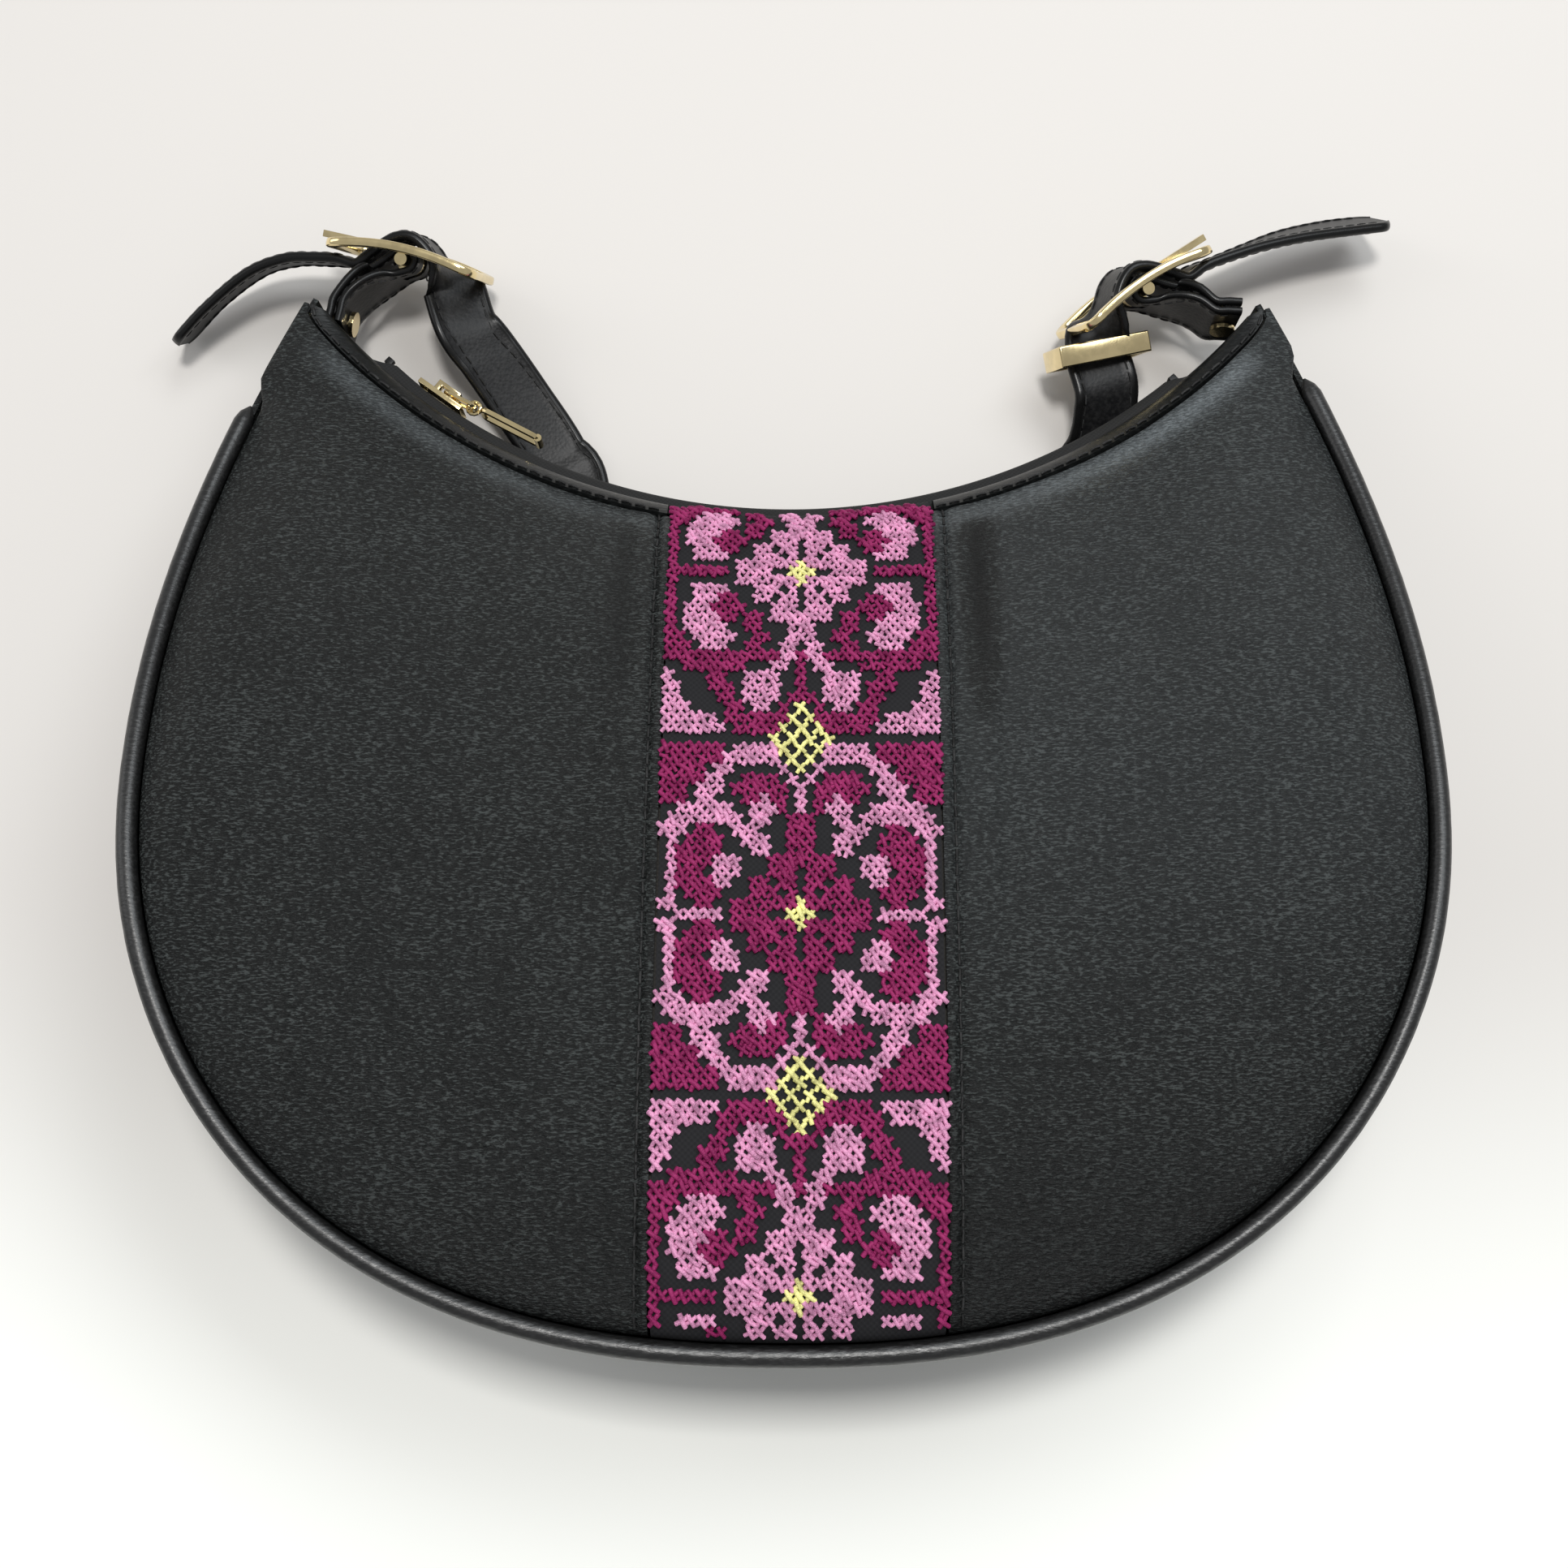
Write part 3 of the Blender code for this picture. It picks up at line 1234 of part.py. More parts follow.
def make_keeper():
    """A flat metal loop that hangs on the strap beside the right buckle."""
    line, run, _ = strap_line()
    target = np.array(from_shares(buckle_frame_of(1), *KEEPER_AT_shares))
    at = int(np.argmin(np.linalg.norm(line[:, :3] - target, axis=1)))
    step = max(2, round(KEEPER_LENGTH / STRAP_STEP / 2.0))
    along = Vector(line[at - step, :3] - line[at + step, :3]).normalized()
    width = Vector(line[at, 3:])
    width = (width - along * width.dot(along)).normalized()
    face = along.cross(width)
    frame = Matrix((width, along, face)).transposed().to_4x4()
    frame.translation = line[at, :3]
    half = KEEPER_LENGTH / 2.0
    wide = STRAP_WIDTH / 2.0 + KEEPER_PLAY
    thick = STRAP_THICK / 2.0 + KEEPER_HEIGHT_PLAY
    outside = (wide + KEEPER_WALL, half, thick + KEEPER_WALL)
    inside = (wide, half + CUT_OVERRUN, thick)
    mesh = box_mesh("strap_keeper", [-size for size in outside], outside, frame)
    keeper = add_piece("strap_keeper", mesh, GOLD)
    bore = box_mesh("keeper_bore", [-size for size in inside], inside, frame)
    cut(keeper, add_cutter("keeper_bore", bore))
    print("keeper centre", tuple(frame.translation), "along the strap", tuple(along))


def make_pocket():
    """A slip pocket standing on the back of the lining, open towards the mouth."""
    columns = np.linspace(-1.0, 1.0, POCKET_COLUMNS)
    rows = np.linspace(POCKET_LOW_Y, POCKET_HIGH_Y, POCKET_ROWS)
    base = BACK_HOLLOW + PANEL_THICK + TOUCH_GAP + LINING_THICK + TOUCH_GAP
    grid = [
        [(STRIP_OFFSET + POCKET_HALF * share, y, base + POCKET_STAND) for y in rows]
        for share in columns
    ]
    sheet("inner_pocket", np.array(grid), POCKET_THICK, LINING_CLOTH, offset=0.0)


def main():
    clear_scene()
    middle = bpy.data.objects.new("bag_middle", None)
    collection_named("half_moon_bag").objects.link(middle)
    middle.location = (-MIDDLE_X, -MIDDLE_Y, 0.0)
    make_front()
    make_back()
    make_facings()
    make_gusset()
    make_pipings()
    make_lining()
    make_pocket()
    make_zip_half(1, "front", MOUTH_FRONT_MIDDLE, MOUTH_FRONT_HORN)
    make_zip_half(-1, "back", MOUTH_BACK_MIDDLE, MOUTH_BACK_HORN)
    make_zip_stops()
    make_pull(*make_slider())
    make_strap()
    make_keeper()
    for side in (-1, 1):
        make_buckle(side)
        make_prong(side)
        make_tab(side)


main()
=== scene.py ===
# %% [markdown]
# # A half moon shoulder bag, piece by piece
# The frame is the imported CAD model: every body, joint and hard piece stands where it belongs.
# This script dresses it. Hard metal pieces keep their CAD shape, and every soft piece is made again
# from finer surfaces, with the leather, thread and cloth that the real bag has.

# %% Load the frame
import math

import bmesh
import bpy
import numpy as np
from mathutils import Matrix, Vector, noise


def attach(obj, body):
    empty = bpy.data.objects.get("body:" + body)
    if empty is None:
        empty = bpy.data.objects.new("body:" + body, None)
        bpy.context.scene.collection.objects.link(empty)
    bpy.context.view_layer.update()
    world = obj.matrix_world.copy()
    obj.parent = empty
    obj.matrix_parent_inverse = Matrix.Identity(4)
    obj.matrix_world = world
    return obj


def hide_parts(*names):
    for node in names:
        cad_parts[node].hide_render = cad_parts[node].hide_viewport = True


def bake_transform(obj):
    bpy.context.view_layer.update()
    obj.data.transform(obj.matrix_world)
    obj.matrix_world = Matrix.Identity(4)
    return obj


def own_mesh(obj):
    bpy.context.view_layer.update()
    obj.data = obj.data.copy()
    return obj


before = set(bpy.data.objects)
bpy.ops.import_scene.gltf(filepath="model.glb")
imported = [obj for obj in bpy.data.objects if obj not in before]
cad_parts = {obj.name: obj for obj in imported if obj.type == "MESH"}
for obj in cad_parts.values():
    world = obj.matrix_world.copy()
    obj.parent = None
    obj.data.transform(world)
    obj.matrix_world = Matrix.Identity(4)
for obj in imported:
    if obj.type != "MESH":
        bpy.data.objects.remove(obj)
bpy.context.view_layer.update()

# %% [markdown]
# ## Camera, floor and light
# The bag lies on its back on a pale table, and the camera looks down on it, tilted a little towards the mouth.
# A long lens keeps the horns from growing. A small lamp overhead lays the shadow below the rounded bottom,
# a big cool window to the upper right lights the right panel, and a weak one on the left draws the long
# shine on the piping.

# %% Camera
CAMERA_PLACE = (0.0010, -0.1080, 0.4757)
CAMERA_TILT_DEG = 12.0
CAMERA_ROLL_DEG = 0.35
CAMERA_LENS = 46.9


def shown(name, data):
    """A new object in the scene."""
    thing = bpy.data.objects.new(name, data)
    bpy.context.scene.collection.objects.link(thing)
    return thing


camera_data = bpy.data.cameras.new("camera")
camera_data.lens = CAMERA_LENS
camera_data.clip_start = 0.01
camera = shown("camera", camera_data)
camera.location = CAMERA_PLACE
camera.rotation_euler = (
    Matrix.Rotation(math.radians(CAMERA_TILT_DEG), 3, "X")
    @ Matrix.Rotation(math.radians(CAMERA_ROLL_DEG), 3, "Z")
).to_euler()
bpy.context.scene.camera = camera
bpy.context.scene.view_settings.view_transform = "Standard"
print("camera", tuple(camera.location))

# %% [markdown]
# ## Writing materials and node trees as sums
# A node tree is easier to read as sums than as boxes and wires. `Signal` wraps a socket and overloads
# the usual operators, so `1 - mask` adds a Math node by itself. `Recipe` holds the tree and has one method for
# every other node: its type, its settings, and what goes into its sockets.

# %% Sockets that add up
class Signal:
    """An output socket that can be used in a sum."""

    def __init__(self, recipe, socket):
        self.recipe = recipe
        self.socket = socket

    def sum_with(self, operation, *values):
        return self.recipe.node("ShaderNodeMath", {"operation": operation}, dict(enumerate(values)))

    def __add__(self, other):
        return self.sum_with("ADD", self, other)

    def __sub__(self, other):
        return self.sum_with("SUBTRACT", self, other)

    def __mul__(self, other):
        return self.sum_with("MULTIPLY", self, other)

    def __truediv__(self, other):
        return self.sum_with("DIVIDE", self, other)

    def __rsub__(self, other):
        return self.sum_with("SUBTRACT", other, self)

    def __rtruediv__(self, other):
        return self.sum_with("DIVIDE", other, self)

    __radd__ = __add__
    __rmul__ = __mul__

    def size(self):
        return self.sum_with("ABSOLUTE", self)

    def wave(self):
        return self.sum_with("SINE", self)

    def between(self, low, high):
        """0 at low, 1 at high, eased."""
        return self.recipe.node(
            "ShaderNodeMapRange", {"interpolation_type": "SMOOTHSTEP"}, {"Value": self, 1: low, 2: high}
        )


class Recipe:
    """A node tree, filled node by node."""

    def __init__(self, tree):
        self.tree = tree

    def node(self, kind, settings=None, values=None, output=0):
        made = self.tree.nodes.new(kind)
        for name, value in (settings or {}).items():
            setattr(made, name, value)
        for name, value in (values or {}).items():
            self.put(made.inputs[name], value)
        return Signal(self, made.outputs[output])

    def put(self, socket, value):
        if isinstance(value, Signal):
            self.tree.links.new(value.socket, socket)
        elif socket.type == "RGBA" and len(value) == 3:
            socket.default_value = (*value, 1.0)
        else:
            socket.default_value = value

    def blend(self, factor, first, second):
        """One colour over another."""
        return self.node("ShaderNodeMix", {"data_type": "RGBA"}, {0: factor, 6: first, 7: second}, output=2)


class Finish(Recipe):
    """A material with one Principled shader. Fixed values go straight on its sockets."""

    def __init__(self, name, **fixed):
        self.material = bpy.data.materials.new(name)
        self.material.use_nodes = True
        super().__init__(self.material.node_tree)
        self.shader = self.tree.nodes["Principled BSDF"]
        for socket, value in fixed.items():
            self.put(self.shader.inputs[socket.replace("_", " ").title().replace("Ior", "IOR")], value)
        self.place = self.node("ShaderNodeTexCoord", output="Object")

    def grain(self, scale, stretch=(1.0, 1.0, 1.0), detail=3.0, roughness=0.55):
        mapped = self.node("ShaderNodeMapping", None, {0: self.place, "Scale": stretch})
        values = {"Vector": mapped, "Scale": scale, "Detail": detail, "Roughness": roughness}
        return self.node("ShaderNodeTexNoise", None, values)

    def pebbles(self, scale, stretch=(1.0, 1.0, 1.0)):
        mapped = self.node("ShaderNodeMapping", None, {0: self.place, "Scale": stretch})
        return self.node("ShaderNodeTexVoronoi", None, {"Vector": mapped, "Scale": scale})

    def raise_by(self, height, distance, strength=1.0):
        """A bump on the shader's normal."""
        values = {"Strength": strength, "Distance": distance, "Height": height}
        self.put(self.shader.inputs["Normal"], self.node("ShaderNodeBump", None, values))

    def feed(self, **signals):
        for socket, value in signals.items():
            self.put(self.shader.inputs[socket.replace("_", " ").title()], value)
        return self.material


print("recipes ready")

# %% Floor and soft light
FLOOR_TOP = (0.672, 0.645, 0.616)
FLOOR_BOTTOM = (0.938, 0.943, 0.903)
FLOOR_HALF, FLOOR_DROP = 3.0, 0.0002
SKY = (0.93, 0.94, 0.96, 1.0)
BAG_PLACE = (0.0, -0.02, 0.0)


def mesh_from(work, name):
    """A bmesh written to a new mesh."""
    mesh = bpy.data.meshes.new(name)
    work.to_mesh(mesh)
    work.free()
    return mesh


def pale_floor():
    """A wide sheet whose colour warms and darkens towards the top of the picture: painted shade that evens out the
    window's stronger light there.
    """
    finish = Finish("pale_table", roughness=0.9, specular_ior_level=0.0)
    along = finish.node("ShaderNodeSeparateXYZ", None, {0: finish.place}, output="Y")
    # Darker towards the top: painted shade where the window's light is stronger.
    towards_top = along.between(-0.17, -0.02)
    finish.feed(base_color=finish.blend(towards_top, FLOOR_BOTTOM, FLOOR_TOP))
    work = bmesh.new()
    bmesh.ops.create_grid(work, x_segments=1, y_segments=1, size=FLOOR_HALF)
    mesh = mesh_from(work, "floor")
    mesh.transform(Matrix.Translation((0.0, 0.0, -FLOOR_DROP)))
    mesh.materials.append(finish.material)
    floor = shown("floor", mesh)


def soft_light(name, place, target, size, power, colour=(1.0, 1.0, 1.0)):
    lamp = bpy.data.lights.new(name, "AREA")
    lamp.shape = "RECTANGLE"
    lamp.size, lamp.size_y = size
    lamp.energy = power
    lamp.color = colour
    thing = shown(name, lamp)
    thing.location = place
    thing.rotation_euler = (Vector(target) - Vector(place)).to_track_quat("-Z", "Y").to_euler()


def soft_sky(strength):
    world = bpy.data.worlds.new("soft_room")
    bpy.context.scene.world = world
    world.use_nodes = True
    back = world.node_tree.nodes["Background"]
    back.inputs["Color"].default_value = SKY
    back.inputs["Strength"].default_value = strength


pale_floor()
soft_sky(0.42)
soft_light("lamp_overhead", (0.02, 0.13, 1.30), BAG_PLACE, (0.20, 0.20), 9.2, (1.0, 0.99, 0.97))
soft_light("window_above_mouth", (0.42, 0.52, 1.05), BAG_PLACE, (0.9, 0.5), 6.6, (0.92, 0.97, 1.0))
soft_light("window_left", (-0.95, 0.30, 0.55), (0.0, 0.0, 0.0), (0.35, 0.9), 1.6)
print("floor, a lamp and two windows")

# %% [markdown]
# ## The leather
# The bag is made of black grained leather. Three scales matter: fine pebbles, short streaks that run across
# the hide, rubbed a little paler at their tops, and a slow change of shine. All are procedural and read
# Object coordinates, so nothing slides when the strap moves. Light and shade are also painted into the front
# panels' colour: a painted sheen beside the facing and over the right panel's upper part, and painted shade
# in the hollow beside the strip and towards the bottom. Each front panel carries it as an attribute.

# %% Black leather
STREAK_STRETCH, PEBBLE_STRETCH = (0.45, 1.45, 1.0), (0.60, 1.35, 1.0)
# Colours of the painted sheen, and how dark the painted shade makes the leather.
PAINTED_SHEEN_DARK, PAINTED_SHEEN_LIGHT = (0.068, 0.076, 0.080), (0.138, 0.154, 0.162)
PAINTED_SHADE_SHARE = 0.15


def scaled(colour, share, add=0.0):
    return tuple(min(1.0, part * share + add) for part in colour)


def make_leather(name, colour, roughness, pebble, bump, flecked=5.0, gloss=0.22):
    """Smooth black leather whose fine grain runs level, with paler flecks where the grain is rubbed.
    An attribute holds painted light: a painted sheen above 0 and painted shade below 0."""
    finish = Finish(name, specular_ior_level=gloss)
    streaks = finish.grain(pebble, STREAK_STRETCH, 3.0, 0.62)
    mottled = finish.grain(32.0, detail=3.0, roughness=0.5)
    cells = finish.pebbles(pebble * 0.6, PEBBLE_STRETCH)
    settings = {"attribute_type": "GEOMETRY", "attribute_name": "painted_sheen_and_shade"}
    painted_sheen_and_shade = finish.node("ShaderNodeAttribute", settings, output="Fac")
    rubbed = (streaks * 0.9 + mottled * 0.1).between(0.50, 0.62)
    plain = finish.blend(rubbed, colour, scaled(colour, flecked))
    # Painted shade: the leather is darkened where the attribute is below 0.
    face = finish.blend(painted_sheen_and_shade * -1.0, plain, scaled(colour, PAINTED_SHADE_SHARE))
    # Painted sheen: a pale blue-grey that keeps the streaks, blended in where the attribute is above 0.
    painted_light = finish.blend(streaks.between(0.40, 0.62), PAINTED_SHEEN_DARK, PAINTED_SHEEN_LIGHT)
    finish.feed(
        base_color=finish.blend(painted_sheen_and_shade, face, painted_light),
        roughness=roughness + 0.34 * (streaks - 0.5) + 0.10 * (mottled - 0.5) - 0.08 * painted_sheen_and_shade,
    )
    finish.raise_by(cells * 0.5 + streaks, bump)
    return finish.material


LEATHER = make_leather("black_leather", (0.0045, 0.0051, 0.0050), 0.42, 1700.0, 0.00055, 9.5)
EDGE_LEATHER = make_leather("facing_leather", (0.005, 0.0055, 0.0055), 0.34, 1400.0, 0.00008, 2.0, 0.26)
PIPING = make_leather("piping_leather", (0.006, 0.006, 0.006), 0.36, 1400.0, 0.00008, 2.0, 0.62)
print("leathers", LEATHER.name, EDGE_LEATHER.name, PIPING.name)

# %% [markdown]
# ## Cotton, cloth and plate
# Embroidery cotton is a soft twisted strand whose dye is never quite even, so its colour varies along the
# thread. The ground, the lining and the zip's tapes are woven: two sets of threads that cross. The plate is
# nearly a mirror, and only faint rubbing marks keep it from looking like plastic.

# %% Cotton and cloth
def make_thread(name, colour, roughness=0.55):
    """Embroidery cotton: thin twisted strands with a little gloss and uneven dye."""
    finish = Finish(name, specular_ior_level=0.16)
    strands = finish.grain(5200.0, detail=2.0, roughness=0.6)
    dye = finish.grain(420.0, detail=2.0, roughness=0.5)
    shade = (strands * 0.55 + dye * 0.45).between(0.34, 0.64)
    finish.feed(
        base_color=finish.blend(shade, scaled(colour, 0.42), scaled(colour, 1.25, 0.02)),
        roughness=roughness + 0.2 * (strands - 0.5),
    )
    finish.raise_by(strands, 0.00012, 0.7)
    return finish.material


def make_cloth(name, colour, threads, bump=0.00012, roughness=0.85):
    """A plain weave: two sets of threads crossing at right angles."""
    finish = Finish(name, specular_ior_level=0.25)
    warp, weft = (
        (finish.node("ShaderNodeSeparateXYZ", None, {0: finish.place}, output=axis) * threads).wave()
        for axis in (0, 1)
    )
    weave = warp * weft * 0.5 + 0.5
    fuzz = finish.grain(900.0)
    finish.feed(
        base_color=finish.blend(weave * 0.6 + fuzz * 0.4, colour, scaled(colour, 1.8, 0.004)),
        roughness=roughness + 0.1 * (fuzz - 0.5),
    )
    finish.raise_by(weave * 0.7 + fuzz * 0.3, bump, 0.6)
    return finish.material


MAGENTA = make_thread("magenta_cotton", (0.245, 0.005, 0.086))
PINK = make_thread("pink_cotton", (0.640, 0.270, 0.450))
YELLOW = make_thread("yellow_cotton", (0.800, 0.750, 0.290))
SEWING = make_thread("black_sewing_thread", (0.010, 0.010, 0.010), 0.45)
GROUND = make_cloth("black_ground_cloth", (0.007, 0.007, 0.008), 5200.0)
LINING = make_cloth("lining_cloth", (0.030, 0.028, 0.026), 7000.0)
TAPE = make_cloth("zip_tape_cloth", (0.010, 0.010, 0.010), 6000.0)
COIL = make_leather("zip_coil", (0.012, 0.012, 0.012), 0.35, 2500.0, 0.00003)
print("threads and cloths ready")

# %% Plate and strap leather
def make_metal(name, colour, roughness):
    """Plated metal: nearly a mirror, with faint rubbing marks along the pieces."""
    finish = Finish(name, metallic=1.0)
    marks = finish.grain(2600.0, (1.0, 0.25, 0.6), 2.0, 0.6)
    cloud = finish.grain(160.0)
    finish.feed(
        base_color=finish.blend(cloud.between(0.35, 0.65), scaled(colour, 0.8), colour),
        roughness=roughness + 0.10 * (marks - 0.5) + 0.06 * (cloud - 0.5),
    )
    finish.raise_by(marks, 0.00002, 0.35)
    return finish.material


def make_strap_leather():
    """Strap leather: a smoother face between two rounded, painted edges. U runs across the strap."""
    finish = Finish("strap_leather", specular_ior_level=0.24)
    surface = finish.node("ShaderNodeUVMap", {"uv_map": "strap"})
    across = finish.node("ShaderNodeSeparateXYZ", None, {0: surface}, output="X")
    edge = (across - 0.5).size().between(0.36, 0.40)
    grain = finish.grain(900.0)
    cells = finish.pebbles(1300.0)
    face = finish.blend(grain.between(0.35, 0.7), (0.006, 0.006, 0.0065), (0.015, 0.0148, 0.015))
    finish.feed(
        base_color=finish.blend(edge, face, (0.006, 0.006, 0.006)),
        roughness=0.42 + 0.12 * (grain - 0.5) - 0.14 * edge,
    )
    finish.raise_by((1 - edge) * (cells * 0.5 + grain * 0.5), 0.00014, 0.5)
    return finish.material


STRAP = make_strap_leather()
GOLD = make_metal("gold_metal", (0.93, 0.76, 0.42), 0.16)
# The zip stops are made black and non-metal, so they sink into the dark tape.
DARK_ZIP_STOPS = make_leather("black_zip_stop", (0.006, 0.006, 0.006), 0.40, 2600.0, 0.00002, 1.5)
print("materials", len(bpy.data.materials))

# %% [markdown]
# ## The bag's lines
# A half moon bag is drawn with few lines: a full curve below, two horns above, and an arc cut out between
# them for the mouth. These are the same lines the CAD model uses, so each finer surface lies where its
# CAD piece does. X runs across, Y towards the mouth, Z out of the front; `to_frame` puts the drawing
# on the model's own middle.

# %% Outline and mouth
BAG_MIDDLE = np.array([-0.0010, 0.0196, 0.0])
HALF_WIDTH, WIDEST_Y, BOTTOM_DEPTH, BOTTOM_POWER = 0.1386, 0.012, 0.129, 2.35
SIDE_HEIGHT, HORN_HALF = 0.191, 0.1138
MOUTH_RADIUS, MOUTH_CENTRE_Y, MOUTH_HALF = 0.144, 0.214, 0.108
MOUTH_LIMIT = math.asin(MOUTH_HALF / MOUTH_RADIUS)
STRIP_WIDTH, STRIP_OFFSET = 0.059, 0.0035
STRIP_EDGES = (STRIP_OFFSET - STRIP_WIDTH / 2.0, STRIP_OFFSET + STRIP_WIDTH / 2.0)
PIPING_RADIUS, PIPING_INSET = 0.0022, 0.0023
PIPING_END = {-1: 0.094, 1: 0.103}
FRONT_RIM, BACK_RIM = (0.065, 0.032), (0.0024, 0.0045)
FRONT_MOUTH, BACK_MOUTH = (0.0275, 0.0310), (0.0120, 0.0052)
RIM_TURN_Y, HORN_TOP_Y, HORN_INSET = -0.040, 0.121, 0.0010
FRONT_BELOW_CORD, BACK_BELOW_CORD = 0.0005, 0.0016
CROWN, BACK_HOLLOW = 0.10, 0.0042
PIECE_GAP = 0.0003
FACING_WIDTH, PANEL_STOP = 0.0040, 0.0006


def to_frame(points):
    return np.asarray(points, float) - BAG_MIDDLE


def smooth_step(low, high, value):
    share = np.clip((value - low) / (high - low), 0.0, 1.0)
    return share * share * (3.0 - 2.0 * share)


def mixed(first, second, share):
    return first + (second - first) * share


def run_along(points):
    """How far along a line each of its points is."""
    return np.concatenate([[0.0], np.cumsum(np.linalg.norm(np.diff(points, axis=0), axis=1))])


def sampled(places, run, points):
    """The points at other places than those in run."""
    return np.stack([np.interp(places, run, column) for column in points.T], axis=-1)


def draw_outline():
    turn = np.linspace(0.0, math.pi / 2.0, 500)
    low_x = HALF_WIDTH * np.cos(turn) ** (2.0 / BOTTOM_POWER)
    low_y = WIDEST_Y - BOTTOM_DEPTH * np.sin(turn) ** (2.0 / BOTTOM_POWER)
    rise = SIDE_HEIGHT * math.sqrt(1.0 - (HORN_HALF / HALF_WIDTH) ** 2)
    high_y = np.linspace(rise, 0.0, 200, endpoint=False)
    high_x = HALF_WIDTH * np.sqrt(1.0 - (high_y / SIDE_HEIGHT) ** 2)
    right = np.column_stack([np.concatenate([high_x, low_x]), np.concatenate([high_y + WIDEST_Y, low_y])])
    return np.vstack([right * (-1.0, 1.0), right[::-1][1:]])


OUTLINE = draw_outline()
OUTLINE_RUN = run_along(OUTLINE)
MIDDLE_INDEX = len(OUTLINE) // 2


def rim_run_at_x(x):
    lower = OUTLINE[:, 1] < WIDEST_Y
    return float(np.interp(x, OUTLINE[lower][:, 0], OUTLINE_RUN[lower]))


def rim_run_at_y(y, side):
    part = slice(0, MIDDLE_INDEX + 1) if side < 0 else slice(MIDDLE_INDEX, None)
    order = np.argsort(OUTLINE[part][:, 1])
    return float(np.interp(y, OUTLINE[part][order][:, 1], OUTLINE_RUN[part][order]))


def rim_point(run, inset):
    """A point inside the outline, at a place along it."""
    runs = np.clip([run - 0.001, run, run + 0.001], 0.0, OUTLINE_RUN[-1])
    before, here, after = sampled(runs, OUTLINE_RUN, OUTLINE)
    along = (after - before) / np.linalg.norm(after - before)
    return here + inset * np.array([-along[1], along[0]])


def front_rim_height(y):
    return mixed(*FRONT_RIM, smooth_step(RIM_TURN_Y, HORN_TOP_Y, y))


def back_rim_height(y):
    return mixed(*BACK_RIM, smooth_step(RIM_TURN_Y, HORN_TOP_Y, y))


RIM_MARKS = (0.0, *(rim_run_at_x(x) for x in STRIP_EDGES), OUTLINE_RUN[-1])
MOUTH_MARKS = (-MOUTH_LIMIT, *(math.asin(x / MOUTH_RADIUS) for x in STRIP_EDGES), MOUTH_LIMIT)


def mouth_point(angle, out=0.0):
    radius = MOUTH_RADIUS - out
    return np.array([radius * math.sin(angle), MOUTH_CENTRE_Y - radius * math.cos(angle)])


def mouth_height(angle, front):
    return mixed(*(FRONT_MOUTH if front else BACK_MOUTH), abs(angle / MOUTH_LIMIT) ** 6.0)


def station(position):
    """Rim place and mouth angle of one line: 0 to 1 left panel, 1 to 2 strip, 2 to 3 right panel."""
    part = min(2, int(position))
    run = mixed(RIM_MARKS[part], RIM_MARKS[part + 1], position - part)
    angle = mixed(MOUTH_MARKS[part], MOUTH_MARKS[part + 1], position - part)
    place = rim_point(run, 0.0)
    end = PIPING_END[-1 if place[0] < 0.0 else 1]
    inset = mixed(PIPING_INSET + PIPING_RADIUS + PIECE_GAP, HORN_INSET, smooth_step(end, end + 0.008, place[1]))
    return rim_point(run, inset), angle


def front_line(position, shares):
    """Points of the front's face from the rim, share 0, to the mouth, share 1."""
    edge, angle = station(position)
    mouth = mouth_point(angle)
    length = np.linalg.norm(edge - mouth)
    shares = np.clip(shares, 0.0, 1.0)
    place = edge + (mouth - edge) * shares[:, None]
    crown = CROWN * length * np.sqrt(np.maximum(np.sin(math.pi * shares), 0.0))
    height = mixed(front_rim_height(edge[1]) - FRONT_BELOW_CORD, mouth_height(angle, True), shares) + crown
    return np.column_stack([place, height])


def back_line(position, shares):
    """Points of the back's face, which lies on the table in a band and is hollow behind the strap."""
    edge, angle = station(position)
    mouth = mouth_point(angle)
    length = np.linalg.norm(edge - mouth)
    place = edge + (mouth - edge) * shares[:, None]
    low = back_rim_height(edge[1]) - BACK_BELOW_CORD
    long_line = smooth_step(0.040, 0.110, length)
    hollow = BACK_HOLLOW * long_line
    start = mixed(0.30, 0.62, long_line)
    lift = np.maximum(0.0, (shares - start) / (1.0 - start)) ** 2
    height = low * (1.0 - smooth_step(0.0, 0.08, shares)) + hollow * smooth_step(0.17, 0.29, shares)
    return np.column_stack([place, height + (mouth_height(angle, False) - hollow) * lift])


def line_length(position):
    edge, angle = station(position)
    return float(np.linalg.norm(edge - mouth_point(angle)))


def facing_share(position):
    """Where the facing starts on a line."""
    return max(0.35, 1.0 - FACING_WIDTH / line_length(position))


def panel_share(position):
    """Where the panel ends on a line, just before the facing."""
    return facing_share(position) - PANEL_STOP / line_length(position)


def smooth_shares(count, ease=0.6):
    """0 to 1, closer together at both ends."""
    even = np.linspace(0.0, 1.0, count)
    return mixed(even, 0.5 - 0.5 * np.cos(math.pi * even), ease)


print("outline", round(OUTLINE_RUN[-1], 4), "m round, mouth half angle", round(math.degrees(MOUTH_LIMIT), 1))

# %% [markdown]
# ## Sheets, ribbons and cords
# Nearly all of this bag is sheet material, so one helper turns a net of points into a closed sheet of
# leather with a real thickness. A ribbon or a cord is the same net rolled round, with its ends closed.
# Each net also writes a UV map in which U runs across the piece and V along it, in metres.

# %% Nets of points
def net_normals(net):
    normal = np.cross(np.gradient(net, axis=1), np.gradient(net, axis=0))
    return normal / np.maximum(np.linalg.norm(normal, axis=2, keepdims=True), 1e-12)


def outward_normals(net):
    """The normals of a net whose lines run from the rim to the mouth."""
    return net_normals(net[:, ::-1])[:, ::-1]


